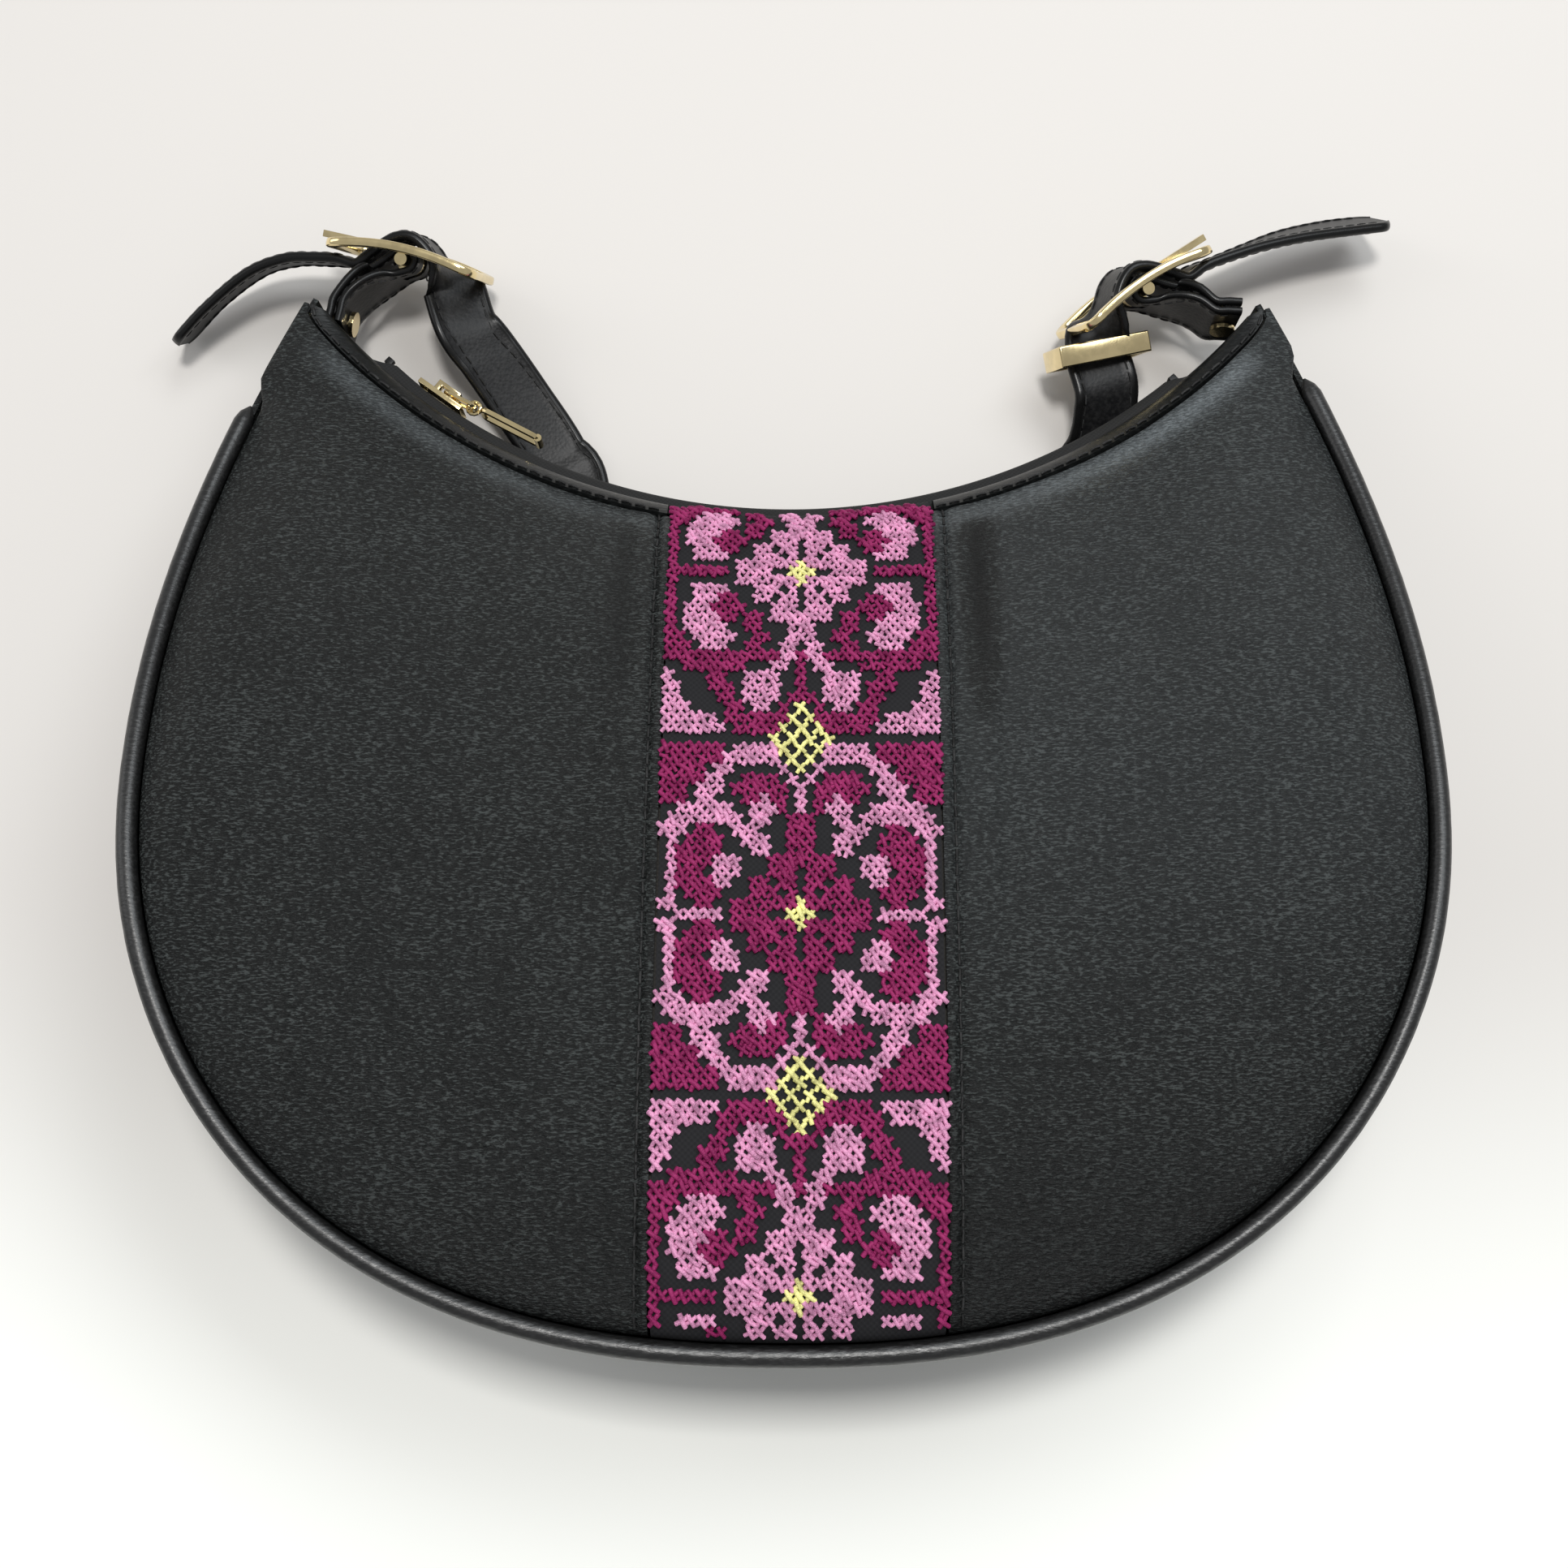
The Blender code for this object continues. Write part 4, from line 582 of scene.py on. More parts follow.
def finish_mesh(name, points, faces, uv, material, body="bag", slot_name="black_leather", sharp=50.0):
    mesh = bpy.data.meshes.new(name)
    mesh.from_pydata([tuple(point) for point in to_frame(points)], [], faces)
    layer = mesh.uv_layers.new(name="strap")
    corners = np.empty(len(mesh.loops), dtype=np.int32)
    mesh.loops.foreach_get("vertex_index", corners)
    layer.data.foreach_set("uv", np.asarray(uv, np.float32)[corners].ravel())
    work = bmesh.new()
    work.from_mesh(mesh)
    bmesh.ops.recalc_face_normals(work, faces=work.faces)
    work.to_mesh(mesh)
    work.free()
    mesh.shade_smooth()
    mesh.set_sharp_from_angle(angle=math.radians(sharp))
    mesh.materials.append(material)
    piece = shown(name, mesh)
    if body:
        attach(piece, body)
    return piece


def net_uv(net):
    """A share across and metres along for each point of a net."""
    columns = net.shape[1]
    along = run_along(net[:, columns // 2])
    return np.dstack(np.meshgrid(np.linspace(0.0, 1.0, columns), along)).reshape(-1, 2)


def sheet_piece(name, net, thickness, material, flip=False, lean=0.0, **how):
    """A closed sheet. The net is its outer face, and lean 0.5 puts the net in its middle."""
    if flip:
        net = net[:, ::-1]
    normal = net_normals(net)
    outer = net + normal * thickness * lean
    inner = outer - normal * thickness
    rows, columns = net.shape[:2]
    points = np.concatenate([outer.reshape(-1, 3), inner.reshape(-1, 3)])
    half = rows * columns
    faces = []
    for row in range(rows - 1):
        for column in range(columns - 1):
            a = row * columns + column
            faces.append((a, a + columns, a + columns + 1, a + 1))
            faces.append((half + a, half + a + 1, half + a + columns + 1, half + a + columns))
    for row in range(rows - 1):
        for column in (0, columns - 1):
            a = row * columns + column
            faces.append((a, half + a, half + a + columns, a + columns))
    for column in range(columns - 1):
        for row in (0, rows - 1):
            a = row * columns + column
            faces.append((a, a + 1, half + a + 1, half + a))
    uv = np.tile(net_uv(net), (2, 1))
    return finish_mesh(name, points, faces, uv, material, **how)


def rolled_piece(name, rings, material, uv=None, closed=False, **how):
    """A solid swept through rings of points. Its ends are closed unless it runs round in a loop."""
    rows, sides = rings.shape[:2]
    faces = []
    for row in range(rows if closed else rows - 1):
        after = (row + 1) % rows
        for side in range(sides):
            beside = (side + 1) % sides
            here, there = row * sides, after * sides
            faces.append((here + side, here + beside, there + beside, there + side))
    if not closed:
        faces += [tuple(range(sides)), tuple((rows - 1) * sides + side for side in range(sides))]
    if uv is None:
        uv = net_uv(rings)
    return finish_mesh(name, rings.reshape(-1, 3), faces, uv, material, **how)


def smooth_line(knots, spacing, steps=24):
    """Points at an even spacing on a smooth curve through knots of any dimension."""
    knots = np.asarray(knots, float)
    padded = np.vstack([2 * knots[0] - knots[1], knots, 2 * knots[-1] - knots[-2]])
    t = np.linspace(0.0, 1.0, steps, endpoint=False)[:, None]
    fine = []
    for a, b, c, d in zip(padded, padded[1:], padded[2:], padded[3:]):
        curve = 2 * b + (c - a) * t + (2 * a - 5 * b + 4 * c - d) * t**2 + (3 * b - a - 3 * c + d) * t**3
        fine.append(0.5 * curve)
    fine = np.vstack([*fine, knots[-1:]])
    run = run_along(fine[:, :3])
    return sampled(np.linspace(0.0, run[-1], max(2, round(run[-1] / spacing) + 1)), run, fine)


print("nets ready")

# %% [markdown]
# ## Front panels
# Two leather panels make the front. The leather is skived and turned under beside the strip, so a
# thin roll shows there, then the stitched groove. Where the filling ends a soft upright crease stays in
# each panel. The panels are dense nets, and these forms are moves of the net along its own normals:
# they catch the light as real leather does, which a bump cannot do at the edge of a form.

# %% Front panels
PANEL_THICK = 0.0019
CREASES = ((-0.0375, -0.046, 0.052, 0.0023, 0.00040), (0.0432, -0.050, 0.050, 0.0025, 0.00045))
CREASE_BACK, CREASE_BACK_SHARE = 0.0036, 0.6
SEAM_TO_STITCH = 0.0028
STRIP_SIDE_FORMS = (
    (0.00042, 0.0011, 0.0011),  # the rolled edge
    (-0.00042, SEAM_TO_STITCH, 0.0008),  # the stitched groove
    (0.00030, 0.0062, 0.0028),  # the swell beside it
)
HOLLOW_DEPTH = 0.00035
# Per side: painted sheen beside the facing, painted shade in the hollow, painted sheen high up, painted shade low
# down.
PAINTED_LIGHT_SHARES = {-1: (0.42, 0.6, 0.0, 0.25), 1: (0.90, 1.0, 0.11, 0.60)}


def bell(value, at, wide):
    return np.exp(-(((value - at) / wide) ** 2))


def noise_at(x, y, z):
    """Smooth noise at every point of a net."""
    x, y, z = np.broadcast_arrays(x, y, z)
    values = [noise.noise(Vector(place)) for place in zip(x.ravel(), y.ravel(), z.ravel())]
    return np.reshape(values, x.shape)


def leather_relief(points, from_strip, from_facing):
    """How far the leather stands proud of its plain form, in metres."""
    x, y = points[..., 0], points[..., 1]
    relief = sum(tall * bell(from_strip, at, wide) for tall, at, wide in STRIP_SIDE_FORMS)
    relief += 0.00025 * bell(from_facing, 0.0080, 0.0040) - 0.00055 * np.exp(-from_facing / 0.0042)
    for at, low, high, wide, tall in CREASES:
        bend = at + 0.0010 * np.sin(y * 42.0) + 0.0002 * np.sin(y * 160.0)
        window = smooth_step(low, low + 0.030, y) * (1.0 - smooth_step(high - 0.016, high, y))
        fold = bell(x, bend, wide) - CREASE_BACK_SHARE * bell(x - bend, CREASE_BACK, wide)
        relief += tall * window * fold
    return relief + 0.00070 * noise_at(x * 24.0, y * 30.0, 2.0) + 0.00016 * noise_at(x * 70.0, y * 110.0, 5.0)


def paint_sheen_and_shade(points, side, from_mouth, tall, hollow):
    """Painted light on the leather: a painted sheen above 0, painted shade below 0."""
    x, y = points[..., 0], points[..., 1]
    # A painted sheen band along the facing, weaker near the strip.
    painted_sheen_band = bell(from_mouth, 0.0032, 0.0030) * smooth_step(0.012, 0.04, tall)
    painted_sheen_band *= 0.35 + 0.65 * smooth_step(0.03, 0.09, np.abs(x - STRIP_OFFSET))
    # Painted sheen over the upper part and painted shade towards the bottom.
    high, low = smooth_step(-0.065, 0.010, y), 1.0 - smooth_step(-0.105, -0.050, y)
    shares = PAINTED_LIGHT_SHARES[side]
    # Weighed per side; the hollow beside the strip gets painted shade.
    return shares[0] * painted_sheen_band - shares[1] * hollow + shares[2] * high - shares[3] * low


def panel_net(side, lines=150, columns=84):
    """A panel's net, and the painted sheen and shade of each of its points."""
    gap = PIECE_GAP / (RIM_MARKS[1] - RIM_MARKS[0])
    near = np.linspace(0.0, 1.0, lines) ** 1.35
    positions = (1.0 - gap) * (1.0 - near)[::-1] if side < 0 else 2.0 + gap + (1.0 - gap) * near
    eased = smooth_shares(columns, 0.75)
    strip_side = 1.0 if side < 0 else 2.0
    edge_line = front_line(strip_side, eased * facing_share(strip_side))
    tall = np.array([line_length(position) for position in positions])[:, None]
    ends = np.array([panel_share(position) for position in positions])[:, None]
    net = np.array([front_line(position, eased * end) for position, end in zip(positions, ends)])
    from_strip = np.linalg.norm(net[..., :2] - edge_line[:, :2], axis=2)
    from_mouth = (ends - eased * ends) * tall
    # A shallow dent beside the strip: real relief, which also gets painted shade.
    hollow = bell(from_strip, 0.0100, 0.0027)
    hollow *= smooth_step(0.004, 0.009, from_mouth) * (1.0 - smooth_step(0.028, 0.060, from_mouth))
    relief = leather_relief(net, from_strip, from_mouth) - HOLLOW_DEPTH * hollow
    fade = np.minimum(1.0, np.linspace(0.0, 1.0, columns) * 12.0) * smooth_step(0.012, 0.055, tall)
    painted_sheen_and_shade = paint_sheen_and_shade(net, side, from_mouth, tall, hollow)
    return net + outward_normals(net) * (relief * fade)[..., None], painted_sheen_and_shade


panel_nets = {}
for side, name in ((-1, "front_panel_left"), (1, "front_panel_right")):
    panel_nets[name], painted_sheen_and_shade = panel_net(side)
    panel = sheet_piece(f"{name}_leather", panel_nets[name], PANEL_THICK, LEATHER, flip=True)
    # Each panel carries its painted sheen and shade as a point attribute.
    painted_light = panel.data.attributes.new("painted_sheen_and_shade", "FLOAT", "POINT")
    painted_light.data.foreach_set("value", np.tile(painted_sheen_and_shade[:, ::-1].ravel(), 2).astype(np.float32))
    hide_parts(name)
    print(panel.name, len(panel.data.vertices), "points")

# %% [markdown]
# ## Back panel, facings and gusset
# The back is one plain panel that lies on the table. The facings are narrow bands that bind the mouth's
# edge and turn over it. The gusset is the long side band that gives the bag its depth. Each is a
# net along the same lines, so the seams meet without any fitting.

# %% Back panel and facings
BAND_THICK = 0.0014
FACING_TURN = (0.0007, 0.0015)


def back_net(lines=150, columns=64):
    shares = smooth_shares(columns)
    return np.array([back_line(at, shares * panel_share(at)) for at in np.linspace(0.0, 3.0, lines)])


def facing_net(line_at, positions, turn_way):
    """A band beside the mouth, whose last two lines turn over its edge: -1 turns down, 1 turns up."""
    rows = []
    for position in positions:
        face = line_at(position, mixed(facing_share(position), 1.0, np.linspace(0.0, 1.0, 7)))
        edge = mouth_point(station(position)[1], 0.0002)
        rows.append([*face, *((*edge, face[-1, 2] + turn_way * turned) for turned in FACING_TURN)])
    return np.array(rows)


back = sheet_piece("back_panel_leather", back_net(), PANEL_THICK, LEATHER)
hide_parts("back_panel")
gap = 2.0 * PIECE_GAP / STRIP_WIDTH
facing_lines = {
    "front_facing_left": np.linspace(0.0, 1.0 - gap, 70),
    "front_facing_right": np.linspace(2.0 + gap, 3.0, 70),
}
facing_nets = {}
for name, positions in facing_lines.items():
    facing_nets[name] = facing_net(front_line, positions, -1)
    band = sheet_piece(f"{name}_band", facing_nets[name], BAND_THICK, EDGE_LEATHER, flip=True)
    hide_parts(name)
back_facing = facing_net(back_line, np.linspace(0.0, 3.0, 170), 1)
back_band = sheet_piece("back_facing_band", back_facing, BAND_THICK, EDGE_LEATHER)
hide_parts("back_facing")
print("facings", sorted(facing_nets))

# %% Gusset
GUSSET_INSET = 0.0015
GUSSET_TIP = (0.0011, 0.0022)


def gusset_net(lines=190, columns=26):
    """The side band, a little hollow between its seams. Its ends close the tips of the horns."""
    places = [rim_point(run, GUSSET_INSET) for run in np.linspace(0.0, OUTLINE_RUN[-1], lines)]
    start, end = (places[at] + np.array(GUSSET_TIP) * (side, 1.0) for side, at in ((1, 0), (-1, -1)))
    shares = np.linspace(0.0, 1.0, columns)
    rows = []
    for place in [start, *places, end]:
        at = min(place[1], HORN_TOP_Y)
        low = back_rim_height(at) + PIPING_RADIUS + PIECE_GAP
        high = front_rim_height(at) - PIPING_RADIUS - PIECE_GAP
        rows.append(np.column_stack([np.tile(place, (columns, 1)), mixed(low, high, shares)]))
    net = np.array(rows)
    swell = noise_at(net[..., 0] * 22.0, net[..., 1] * 22.0, net[..., 2] * 30.0)
    move = (0.0006 * swell - 0.0004) * np.sin(math.pi * shares)
    return net + outward_normals(net) * move[..., None]


gusset = sheet_piece("gusset_leather", gusset_net(), BAND_THICK, LEATHER, flip=True)
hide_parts("gusset")
print("gusset", [round(size, 4) for size in gusset.dimensions])

# %% [markdown]
# ## Piping
# A cord wrapped in leather is sewn between panel and gusset, so the edge keeps its shape. It is the bag's
# strongest line in the picture: a fat, glossy, round edge with a dark groove beside it. A round tube
# along the rim is right, pinched a little and at uneven steps as the leather wrap pulls over the cord.

# %% Piping cords
def tube_rings(line, radius_at, sides=14):
    tangent = np.gradient(line, axis=0)
    tangent /= np.linalg.norm(tangent, axis=1, keepdims=True)
    side_way = np.cross(tangent, np.array([0.0, 0.0, 1.0]))
    side_way /= np.linalg.norm(side_way, axis=1, keepdims=True)
    up_way = np.cross(side_way, tangent)
    turns = np.linspace(0.0, 2.0 * math.pi, sides, endpoint=False)[:, None]
    rings = []
    for index, place in enumerate(line):
        ring = np.cos(turns) * side_way[index] + np.sin(turns) * up_way[index]
        rings.append(place + ring * radius_at(index / (len(line) - 1)))
    return np.array(rings)


def piping_line(height, spacing=0.0022):
    start, end = rim_run_at_y(PIPING_END[-1], -1), rim_run_at_y(PIPING_END[1], 1)
    runs = np.linspace(start, end, round((end - start) / spacing))
    return np.array([(*rim_point(run, PIPING_INSET), height(rim_point(run, 0.0)[1])) for run in runs])


def cord_radius(share):
    ripple = 0.00006 * noise.noise(Vector((share * 160.0, 0.0, 0.0)))
    tip = min(1.0, math.sqrt(max(0.02, min(share, 1.0 - share) * 160.0)))
    return (PIPING_RADIUS + ripple) * tip


for name, height in (("front_piping", front_rim_height), ("back_piping", back_rim_height)):
    rings = tube_rings(piping_line(height), cord_radius)
    piping = rolled_piece(f"{name}_cord", rings, PIPING, slot_name="piping_leather")
    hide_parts(name)
    print(piping.name, len(rings), "rings")

# %% [markdown]
# ## Threads, made by Geometry Nodes
# The bag has thousands of stitches of two kinds: crossed ones in the embroidery, and straight ones along the
# seams. One node tree sews both. It draws a short arched thread, lays a second one across it if the stitch is
# crossed, sets that on every point with the point's own turn, and makes the result real. The same tree
# makes the zip's coil, because a coil is also a row of short arched threads.

# %% The sewing tree
UPPER_LEG_RAISED = 0.35
THINNER_AT_ENDS = 0.38
MOST_SWING = 2.4
MOST_STRAY = 1.6 * 2.0 / 3.0


def make_sewing_tree():
    """Threads on points. Unevenness is how loosely they are sewn: it changes size, turn and place."""
    tree = bpy.data.node_groups.new("sewn_threads", "GeometryNodeTree")
    sizes = (
        ("Geometry", "NodeSocketGeometry", None),
        ("Thread length", "NodeSocketFloat", 0.0023),
        ("Thread width", "NodeSocketFloat", 0.0006),
        ("Arch", "NodeSocketFloat", 0.0002),
        ("Leg turn", "NodeSocketFloat", 0.0),
        ("Crossed", "NodeSocketBool", False),
        ("Unevenness", "NodeSocketFloat", 0.05),
        ("Seed", "NodeSocketInt", 1),
        ("Thread", "NodeSocketMaterial", None),
    )
    for name, kind, value in sizes:
        socket = tree.interface.new_socket(name=name, in_out="INPUT", socket_type=kind)
        if value is not None:
            socket.default_value = value
    tree.interface.new_socket(name="Geometry", in_out="OUTPUT", socket_type="NodeSocketGeometry")
    recipe = Recipe(tree)
    given = tree.nodes.new("NodeGroupInput")
    asked = {name: Signal(recipe, given.outputs[name]) for name, _, _ in sizes}
    half = asked["Thread length"] * 0.5
    start = recipe.node("ShaderNodeCombineXYZ", None, {"X": half * -1.0})
    end = recipe.node("ShaderNodeCombineXYZ", None, {"X": half})
    line = recipe.node("GeometryNodeCurvePrimitiveLine", None, {"Start": start, "End": end})
    line = recipe.node("GeometryNodeResampleCurve", None, {"Curve": line, "Count": 4})
    along = recipe.node("ShaderNodeSeparateXYZ", None, {0: recipe.node("GeometryNodeInputPosition")}, output="X")
    share = along / half
    drop = share * share
    lift = recipe.node("ShaderNodeCombineXYZ", None, {"Z": asked["Arch"] * (1.0 - drop)})
    line = recipe.node("GeometryNodeSetPosition", None, {"Geometry": line, "Offset": lift})
    line = recipe.node("GeometryNodeSetCurveRadius", None, {"Curve": line, "Radius": 1.0 - drop * THINNER_AT_ENDS})
    profile = {"Resolution": 6, "Radius": asked["Thread width"] * 0.5}
    profile = recipe.node("GeometryNodeCurvePrimitiveCircle", None, profile)
    solid = {"Curve": line, "Profile Curve": profile, "Fill Caps": True}
    leg = recipe.node("GeometryNodeCurveToMesh", None, solid)
    legs = []
    for sign, raised in ((1.0, 0.0), (-1.0, UPPER_LEG_RAISED)):
        turn = recipe.node("ShaderNodeCombineXYZ", None, {"Z": asked["Leg turn"] * sign})
        shift = recipe.node("ShaderNodeCombineXYZ", None, {"Z": asked["Thread width"] * raised})
        moved = {"Geometry": leg, "Translation": shift, "Rotation": turn}
        legs.append(recipe.node("GeometryNodeTransform", None, moved))
    join = tree.nodes.new("GeometryNodeJoinGeometry")
    for part in reversed(legs):
        tree.links.new(part.socket, join.inputs[0])
    switched = {"Switch": asked["Crossed"], "False": legs[0], "True": Signal(recipe, join.outputs[0])}
    stitch = recipe.node("GeometryNodeSwitch", {"input_type": "GEOMETRY"}, switched)

    def random_of(low, high, seed, vector=False):
        """For each stitch a random number between two signals, or a vector of three."""
        kind, first = ("FLOAT_VECTOR", 0) if vector else ("FLOAT", 2)
        values = {first: low, first + 1: high, "Seed": seed}
        return recipe.node("FunctionNodeRandomValue", {"data_type": kind}, values, output=0 if vector else 1)

    loose, seed = asked["Unevenness"], asked["Seed"]
    size = random_of(1.0 - loose, loose + 1.0, seed)
    turned = recipe.node("GeometryNodeInputNamedAttribute", {"data_type": "FLOAT_VECTOR"}, {"Name": "turn"})
    swing = random_of(loose * -MOST_SWING, loose * MOST_SWING, seed + 3.0)
    swing = recipe.node("ShaderNodeCombineXYZ", None, {"Z": swing})
    turned = {"Rotation": turned, "Rotate By": swing}
    turned = recipe.node("FunctionNodeRotateRotation", {"rotation_space": "LOCAL"}, turned)
    stray = loose * asked["Thread width"]
    stray = random_of(stray * -MOST_STRAY, stray * MOST_STRAY, seed + 5.0, vector=True)
    spots = recipe.node("GeometryNodeSetPosition", None, {"Geometry": asked["Geometry"], "Offset": stray})
    placed = {"Points": spots, "Instance": stitch, "Rotation": turned, "Scale": size}
    made = recipe.node("GeometryNodeInstanceOnPoints", None, placed)
    made = recipe.node("GeometryNodeRealizeInstances", None, {"Geometry": made})
    made = recipe.node("GeometryNodeSetMaterial", None, {"Geometry": made, "Material": asked["Thread"]})
    result = tree.nodes.new("NodeGroupOutput")
    tree.links.new(made.socket, result.inputs[0])
    return tree


SEWING_TREE = make_sewing_tree()
print("sewing tree", len(SEWING_TREE.nodes), "nodes")


# %% Sewing
def plain_mesh(piece):
    """The evaluated object as a plain mesh."""
    graph = bpy.context.evaluated_depsgraph_get()
    return bpy.data.meshes.new_from_object(piece.evaluated_get(graph))


def turn_of(along, normal):
    """Euler angles that lay a thread along one way, with its arch towards the other."""
    x = Vector(along).normalized()
    z = Vector(normal)
    z = (z - x * z.dot(x)).normalized()
    return Matrix((x, z.cross(x), z)).transposed().to_euler()


def sew(name, spots, turns, material, body="bag", slot_name="black_leather", **sizes):
    """Stitches on spots, each with its own turn, as one plain mesh."""
    seed_mesh = bpy.data.meshes.new(f"{name}_spots")
    seed_mesh.from_pydata([tuple(spot) for spot in to_frame(spots)], [], [])
    attribute = seed_mesh.attributes.new("turn", "FLOAT_VECTOR", "POINT")
    attribute.data.foreach_set("vector", np.array([tuple(turn) for turn in turns], np.float32).ravel())
    seeds = shown(f"{name}_spots", seed_mesh)
    modifier = seeds.modifiers.new("sewing", "NODES")
    modifier.node_group = SEWING_TREE
    wanted = {"Thread": material, **{key.replace("_", " ").capitalize(): value for key, value in sizes.items()}}
    for item in SEWING_TREE.interface.items_tree:
        if item.in_out == "INPUT" and item.name in wanted:
            modifier[item.identifier] = wanted[item.name]
    mesh = plain_mesh(seeds)
    bpy.data.objects.remove(seeds, do_unlink=True)
    mesh.name = name
    mesh.shade_smooth()
    piece = shown(name, mesh)
    if body:
        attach(piece, body)
    print(name, len(spots), "stitches", len(mesh.polygons), "faces")
    return piece


def seam_spots(line, normals, pitch, lift=0.0):
    """Spots and turns at an even pitch along a line on a surface."""
    run = run_along(line)
    places = np.arange(pitch / 2.0, run[-1], pitch)
    spots, ups, ahead = (sampled(places, run, each) for each in (line, normals, np.gradient(line, axis=0)))
    ups /= np.linalg.norm(ups, axis=1, keepdims=True)
    return spots + ups * lift, [turn_of(way, up) for way, up in zip(ahead, ups)]


print("ready to sew")

# %% [markdown]
# ## The embroidered strip
# The strip is black even-weave cloth with cross stitches in three cottons: magenta, pale pink and pale yellow.
# The motif is a traditional one of flowers, leaves and diamonds that mirrors left to right and end to end.
# It is worked out here from simple shapes on the stitch grid, cell by cell, as a counted pattern is, and each
# filled cell becomes one real crossed stitch on the curved strip.

# %% Counted pattern
COLUMNS_HALF = 15
STITCH_WIDE = STRIP_WIDTH / (2 * COLUMNS_HALF + 1)
STITCH_TALL = 0.00235
HALF_REPEAT = 34
DIAMOND_ROW = 17


def within(a, b, middle_a, middle_b, wide, tall):
    return ((a - middle_a) / wide) ** 2 + ((b - middle_b) / tall) ** 2 <= 1.0


def beside(a, b, path, half):
    """True where a cell lies within half a width of a bent line."""
    for (x0, y0), (x1, y1) in zip(path, path[1:]):
        dx, dy = x1 - x0, y1 - y0
        share = max(0.0, min(1.0, ((a - x0) * dx + (b - y0) * dy) / (dx * dx + dy * dy)))
        if math.hypot(a - x0 - share * dx, b - y0 - share * dy) <= half:
            return True
    return False


def eight_petals(a, b):
    """Upright, slanting and side petals, with the dark gaps between them."""
    petals = (a <= 5 and b <= 3) or (a <= 3 and b <= 5) or (a <= 1 and b <= 7) or (b <= 1 and a <= 7)
    slit = (a == 0 and 2 <= b <= 4) or (b == 0 and 2 <= a <= 3)
    return petals and not slit and (a, b) not in ((2, 2), (3, 3))


def around_star(a, b):
    """The dark flower with its star, side petals and garland, up to the diamond."""
    if a + b <= 1:
        return "yellow"
    if b <= 9:
        if abs(a - 8) + abs(b - 4) <= 1 or (a, b) in ((9, 3), (9, 5), (7, 5)):
            return "pink"
        if (a == 14 and 1 <= b <= 8) or (b == 0 and 9 <= a <= 13) or (a, b) == (15, 1):
            return "pink"
        if within(a, b, 4.6, 6.4, 1.3, 1.4) or beside(a, b, ((5, 7), (7.6, 9.4)), 0.75):
            return "pink"
        if eight_petals(a, b) or (a <= 1 and b == 8):
            return "magenta"
        if within(a, b, 10.6, 4.5, 2.9, 3.9) and not within(a, b, 7.4, 4.0, 2.6, 2.2):
            return "magenta"
    if within(a, b, 4.2, 9.9, 1.3, 1.2):
        return "pink"
    if beside(a, b, ((3.4, 15.9), (6.6, 15.9), (8.6, 13.9), (10.2, 11.8), (10.4, 10.2)), 0.95):
        return "pink"
    if beside(a, b, ((8, 9.8), (12.6, 9.8), (14.2, 8.0)), 1.0):
        return "pink"
    if (a == 0 and 10 <= b <= 12) or (a, b) in ((1, 13), (2, 14), (3, 15)):
        return "pink"
    if within(a, b, 4.4, 12.2, 2.7, 1.7) or within(a, b, 2.4, 11.0, 1.2, 1.2):
        return "magenta"
    if (15 <= b <= 16 and a >= 9) or (a >= 13 and 11 <= b <= 15) or within(a, b, 11.6, 13.6, 1.2, 1.2):
        return "magenta"
    return "magenta" if b == 9 and a <= 1 else None


def around_flower(a, b):
    """The pale flower with its scrolls, leaves and garland, down to the diamond."""
    d = HALF_REPEAT - b
    if b >= 24:
        if a + d <= 1:
            return "yellow"
        if eight_petals(a, d) or (a in (1, 2) and d == 8):
            return "pink"
        if within(a, d, 8.4, 3.9, 1.8, 1.3):
            return "magenta"
        if within(a, d, 10.3, 4.8, 3.1, 3.6) and not within(a, d, 7.0, 3.9, 2.6, 2.3):
            return "pink"
        if (d == 0 and 9 <= a <= 14) or (a == 15 and d <= 9):
            return "magenta"
        if beside(a, d, ((5.6, 5.2), (4.4, 7.2), (6.4, 8.8)), 0.8):
            return "magenta"
    if beside(a, b, ((1.4, 25.2), (2.8, 23.4)), 0.7) or within(a, b, 4.4, 21.6, 2.4, 1.9):
        return "pink"
    if (a == 0 and 21 <= b <= 25) or (a, b) in ((1, 21), (2, 20), (3, 19)):
        return "magenta"
    if 17 < b <= 17.6 + (a - 8.5) * 0.95 and (a, b) not in ((12, 20), (13, 21)):
        return "pink"
    if beside(a, b, ((2.8, 18.8), (6.8, 18.9), (8.4, 21.2), (10.0, 23.2)), 0.95):
        return "magenta"
    if beside(a, b, ((7.4, 24.6), (10, 24.2), (12.6, 25.0), (14.8, 26.4)), 1.1):
        return "magenta"
    return "magenta" if within(a, b, 4.2, 25.0, 1.7, 0.8) else None


def thread_at(column, row):
    """The cotton of one cell. Column 0 is the middle, row 0 the star."""
    a, b = abs(column), abs(row)
    if b > HALF_REPEAT:
        b = 2 * HALF_REPEAT - b
    if abs(b - DIAMOND_ROW) + a <= 3:
        return "yellow" if (a + b - DIAMOND_ROW) % 2 == 1 else None
    return around_star(a, b) if b <= DIAMOND_ROW else around_flower(a, b)


for row in range(HALF_REPEAT, -1, -8):
    print("".join((thread_at(column, row) or " ")[0] for column in range(-COLUMNS_HALF, COLUMNS_HALF + 1)))

